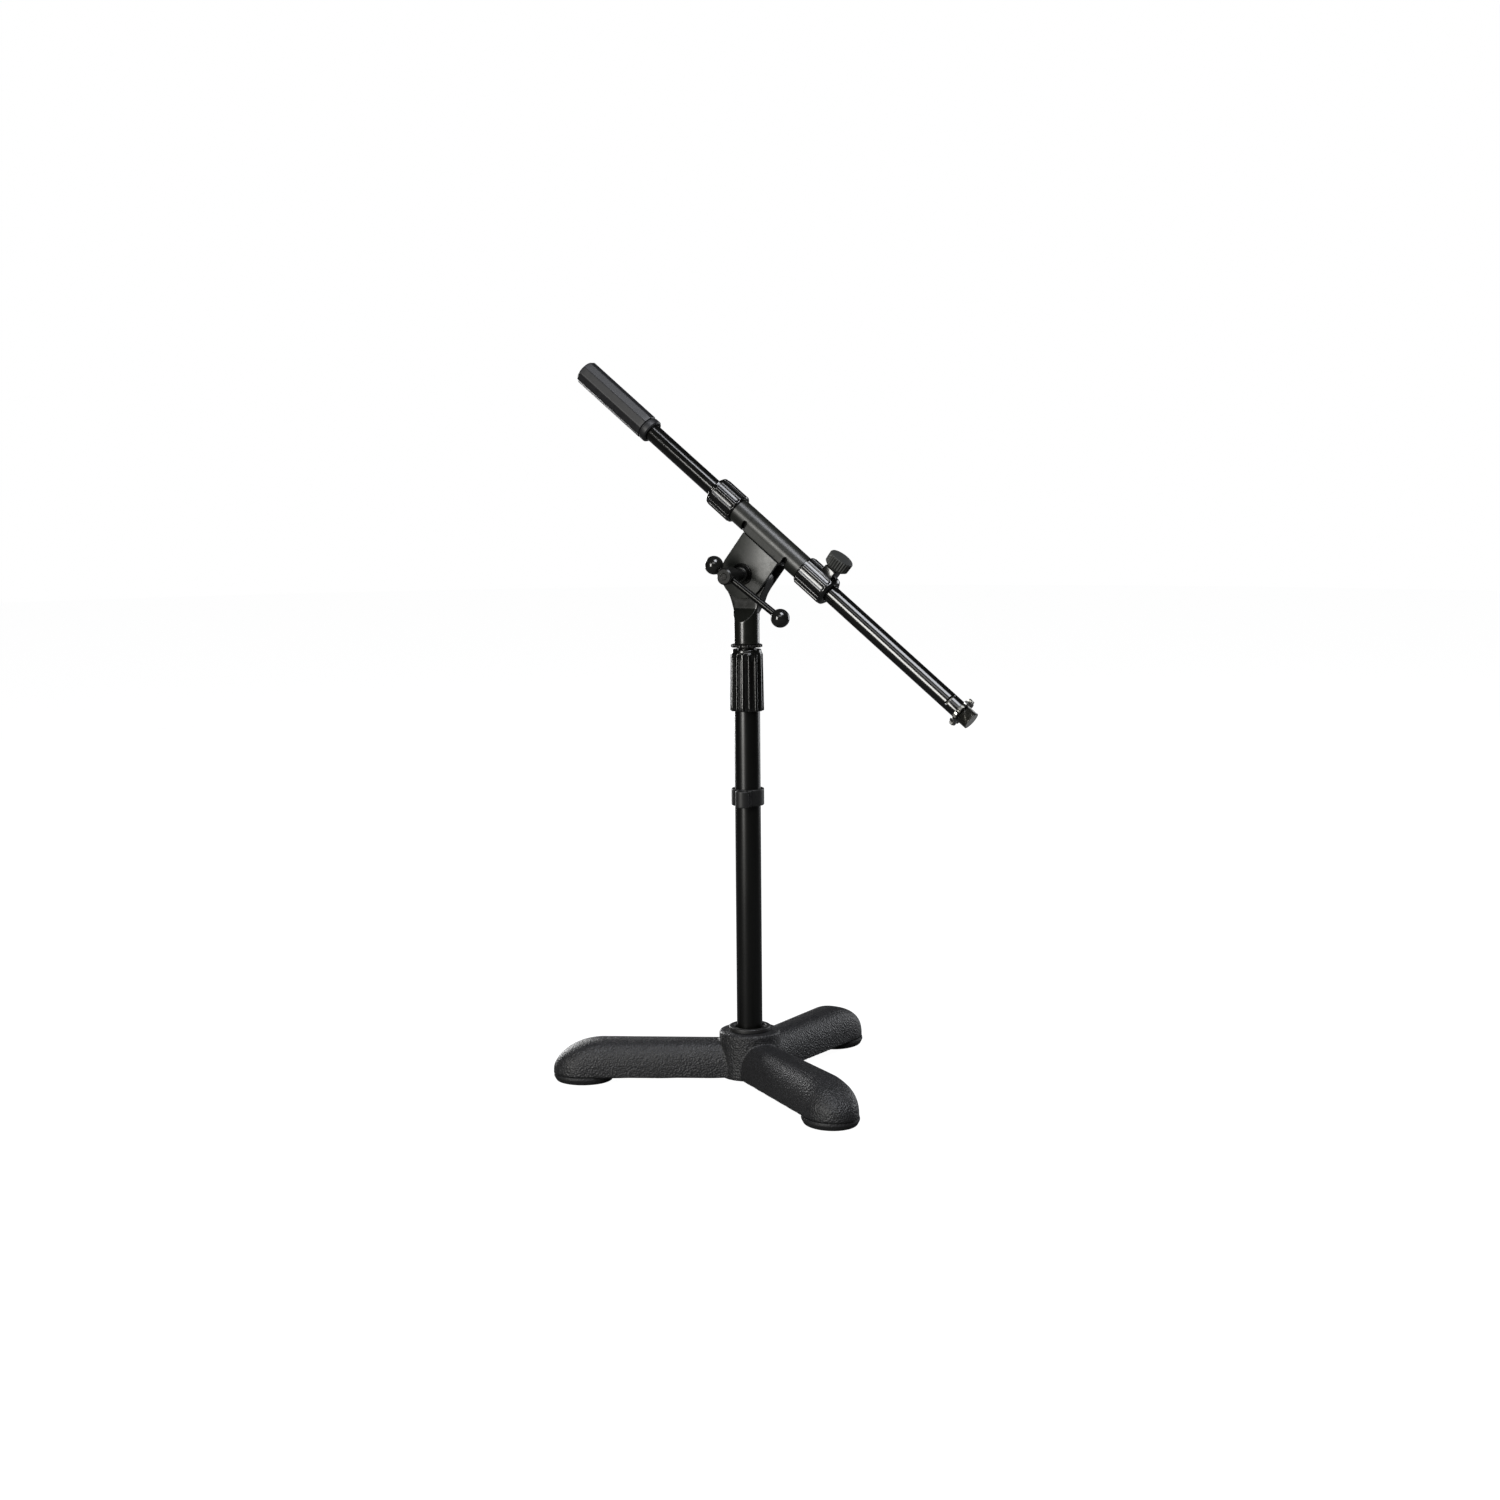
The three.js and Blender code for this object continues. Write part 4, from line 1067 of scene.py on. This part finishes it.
def dress_inside():
    for finish, names in INSIDE.items():
        for name in names:
            node = frame["nodes"][name]
            node.data.materials.clear()
            node.data.materials.append(finishes[finish])


# ---------- Studio ----------

CAMERA_DISTANCE = 2.0734
CAMERA_HEIGHT = 0.589
CAMERA_AZIMUTH = 3.173
CAMERA_PITCH = 8.073
CAMERA_ROLL = -0.461
AIM_ASIDE = 0.06  # degrees to the right of the column
LENS = 57.93


def build_camera():
    data = bpy.data.cameras.new("camera")
    data.lens = LENS
    data.sensor_width = 36
    data.clip_end = 50
    camera = bpy.data.objects.new("camera", data)
    bpy.context.scene.collection.objects.link(camera)
    around = math.radians(CAMERA_AZIMUTH)
    away = Vector((math.sin(around), -math.cos(around), 0)) * CAMERA_DISTANCE
    camera.location = column_foot + away + UP * CAMERA_HEIGHT
    heading = math.radians(AIM_ASIDE - CAMERA_AZIMUTH)
    level = Vector((math.sin(heading), math.cos(heading), 0))
    pitch = math.radians(CAMERA_PITCH)
    look = level * math.cos(pitch) - UP * math.sin(pitch)
    right = level.cross(UP).normalized()
    upward = right.cross(look)
    roll = math.radians(CAMERA_ROLL)
    side = right * math.cos(roll) + upward * math.sin(roll)
    top = upward * math.cos(roll) - right * math.sin(roll)
    camera.rotation_euler = Matrix((side, top, -look)).transposed().to_euler()
    bpy.context.scene.camera = camera


def soft_box(name, azimuth, elevation, distance, size, watts, color=(1, 1, 1)):
    """An area light aimed at the middle of the stand; azimuth 0 is on the camera's side."""
    data = bpy.data.lights.new(name, "AREA")
    data.shape = "RECTANGLE"
    data.size, data.size_y = size
    data.energy = watts
    data.color = color
    light = bpy.data.objects.new(name, data)
    bpy.context.scene.collection.objects.link(light)
    around, up = math.radians(azimuth), math.radians(elevation)
    offset = Vector((math.sin(around) * math.cos(up), -math.cos(around) * math.cos(up), math.sin(up)))
    target = column_foot + UP * 0.33
    light.location = target + offset * distance
    light.rotation_euler = offset.to_track_quat("Z", "Y").to_euler()


FLOOR_GLOW = 0.98  # how white the floor looks, without lighting the stand
ROOM_LIGHT = 0.035


def build_floor():
    bpy.ops.mesh.primitive_circle_add(vertices=128, radius=6, fill_type="NGON", location=(0, 0, -0.0002))
    floor = bpy.context.object
    floor.name = "floor"
    material = bpy.data.materials.new("floor")
    material.use_nodes = True
    shader = material.node_tree.nodes["Principled BSDF"]
    shader.inputs["Base Color"].default_value = (0.12, 0.12, 0.12, 1)
    shader.inputs["Roughness"].default_value = 0.9
    shader.inputs["Specular IOR Level"].default_value = 0.1
    shader.inputs["Emission Color"].default_value = (1, 1, 1, 1)
    nodes, links = material.node_tree.nodes, material.node_tree.links
    path = nodes.new("ShaderNodeLightPath")
    glow = nodes.new("ShaderNodeMath")
    glow.operation = "MULTIPLY"
    glow.inputs[1].default_value = FLOOR_GLOW
    links.new(path.outputs["Is Camera Ray"], glow.inputs[0])
    links.new(glow.outputs[0], shader.inputs["Emission Strength"])
    material.cycles.emission_sampling = "NONE"
    floor.data.materials.append(material)


def build_world():
    world = bpy.data.worlds.new("studio")
    world.use_nodes = True
    bpy.context.scene.world = world
    nodes, links = world.node_tree.nodes, world.node_tree.links
    around = nodes["Background"]
    around.inputs["Color"].default_value = (0.93, 0.96, 1, 1)
    around.inputs["Strength"].default_value = ROOM_LIGHT
    behind = nodes.new("ShaderNodeBackground")
    behind.inputs["Color"].default_value = (1, 1, 1, 1)
    path = nodes.new("ShaderNodeLightPath")
    mix = nodes.new("ShaderNodeMixShader")
    links.new(path.outputs["Is Camera Ray"], mix.inputs["Fac"])
    links.new(around.outputs[0], mix.inputs[1])
    links.new(behind.outputs[0], mix.inputs[2])
    links.new(mix.outputs[0], nodes["World Output"].inputs["Surface"])


build_base()
build_column()
build_swivel()
build_bracket()
build_clamp()
build_line()
dress_inside()
build_camera()
build_world()
build_floor()
soft_box("key_left", -37, 8, 2.6, (0.6, 1.3), 52, (1, 0.99, 0.95))
soft_box("key_right", 35, 60, 2.6, (1.1, 1.3), 60, (0.92, 0.94, 1))
soft_box("fill_front", 0, 35, 3.0, (1.6, 1.0), 12)
soft_box("back_left", -150, 6, 2.6, (0.8, 1.3), 34)
soft_box("back_right", 135, 6, 2.6, (1.0, 1.3), 18, (0.95, 0.97, 1))
bpy.context.scene.view_settings.view_transform = "Standard"
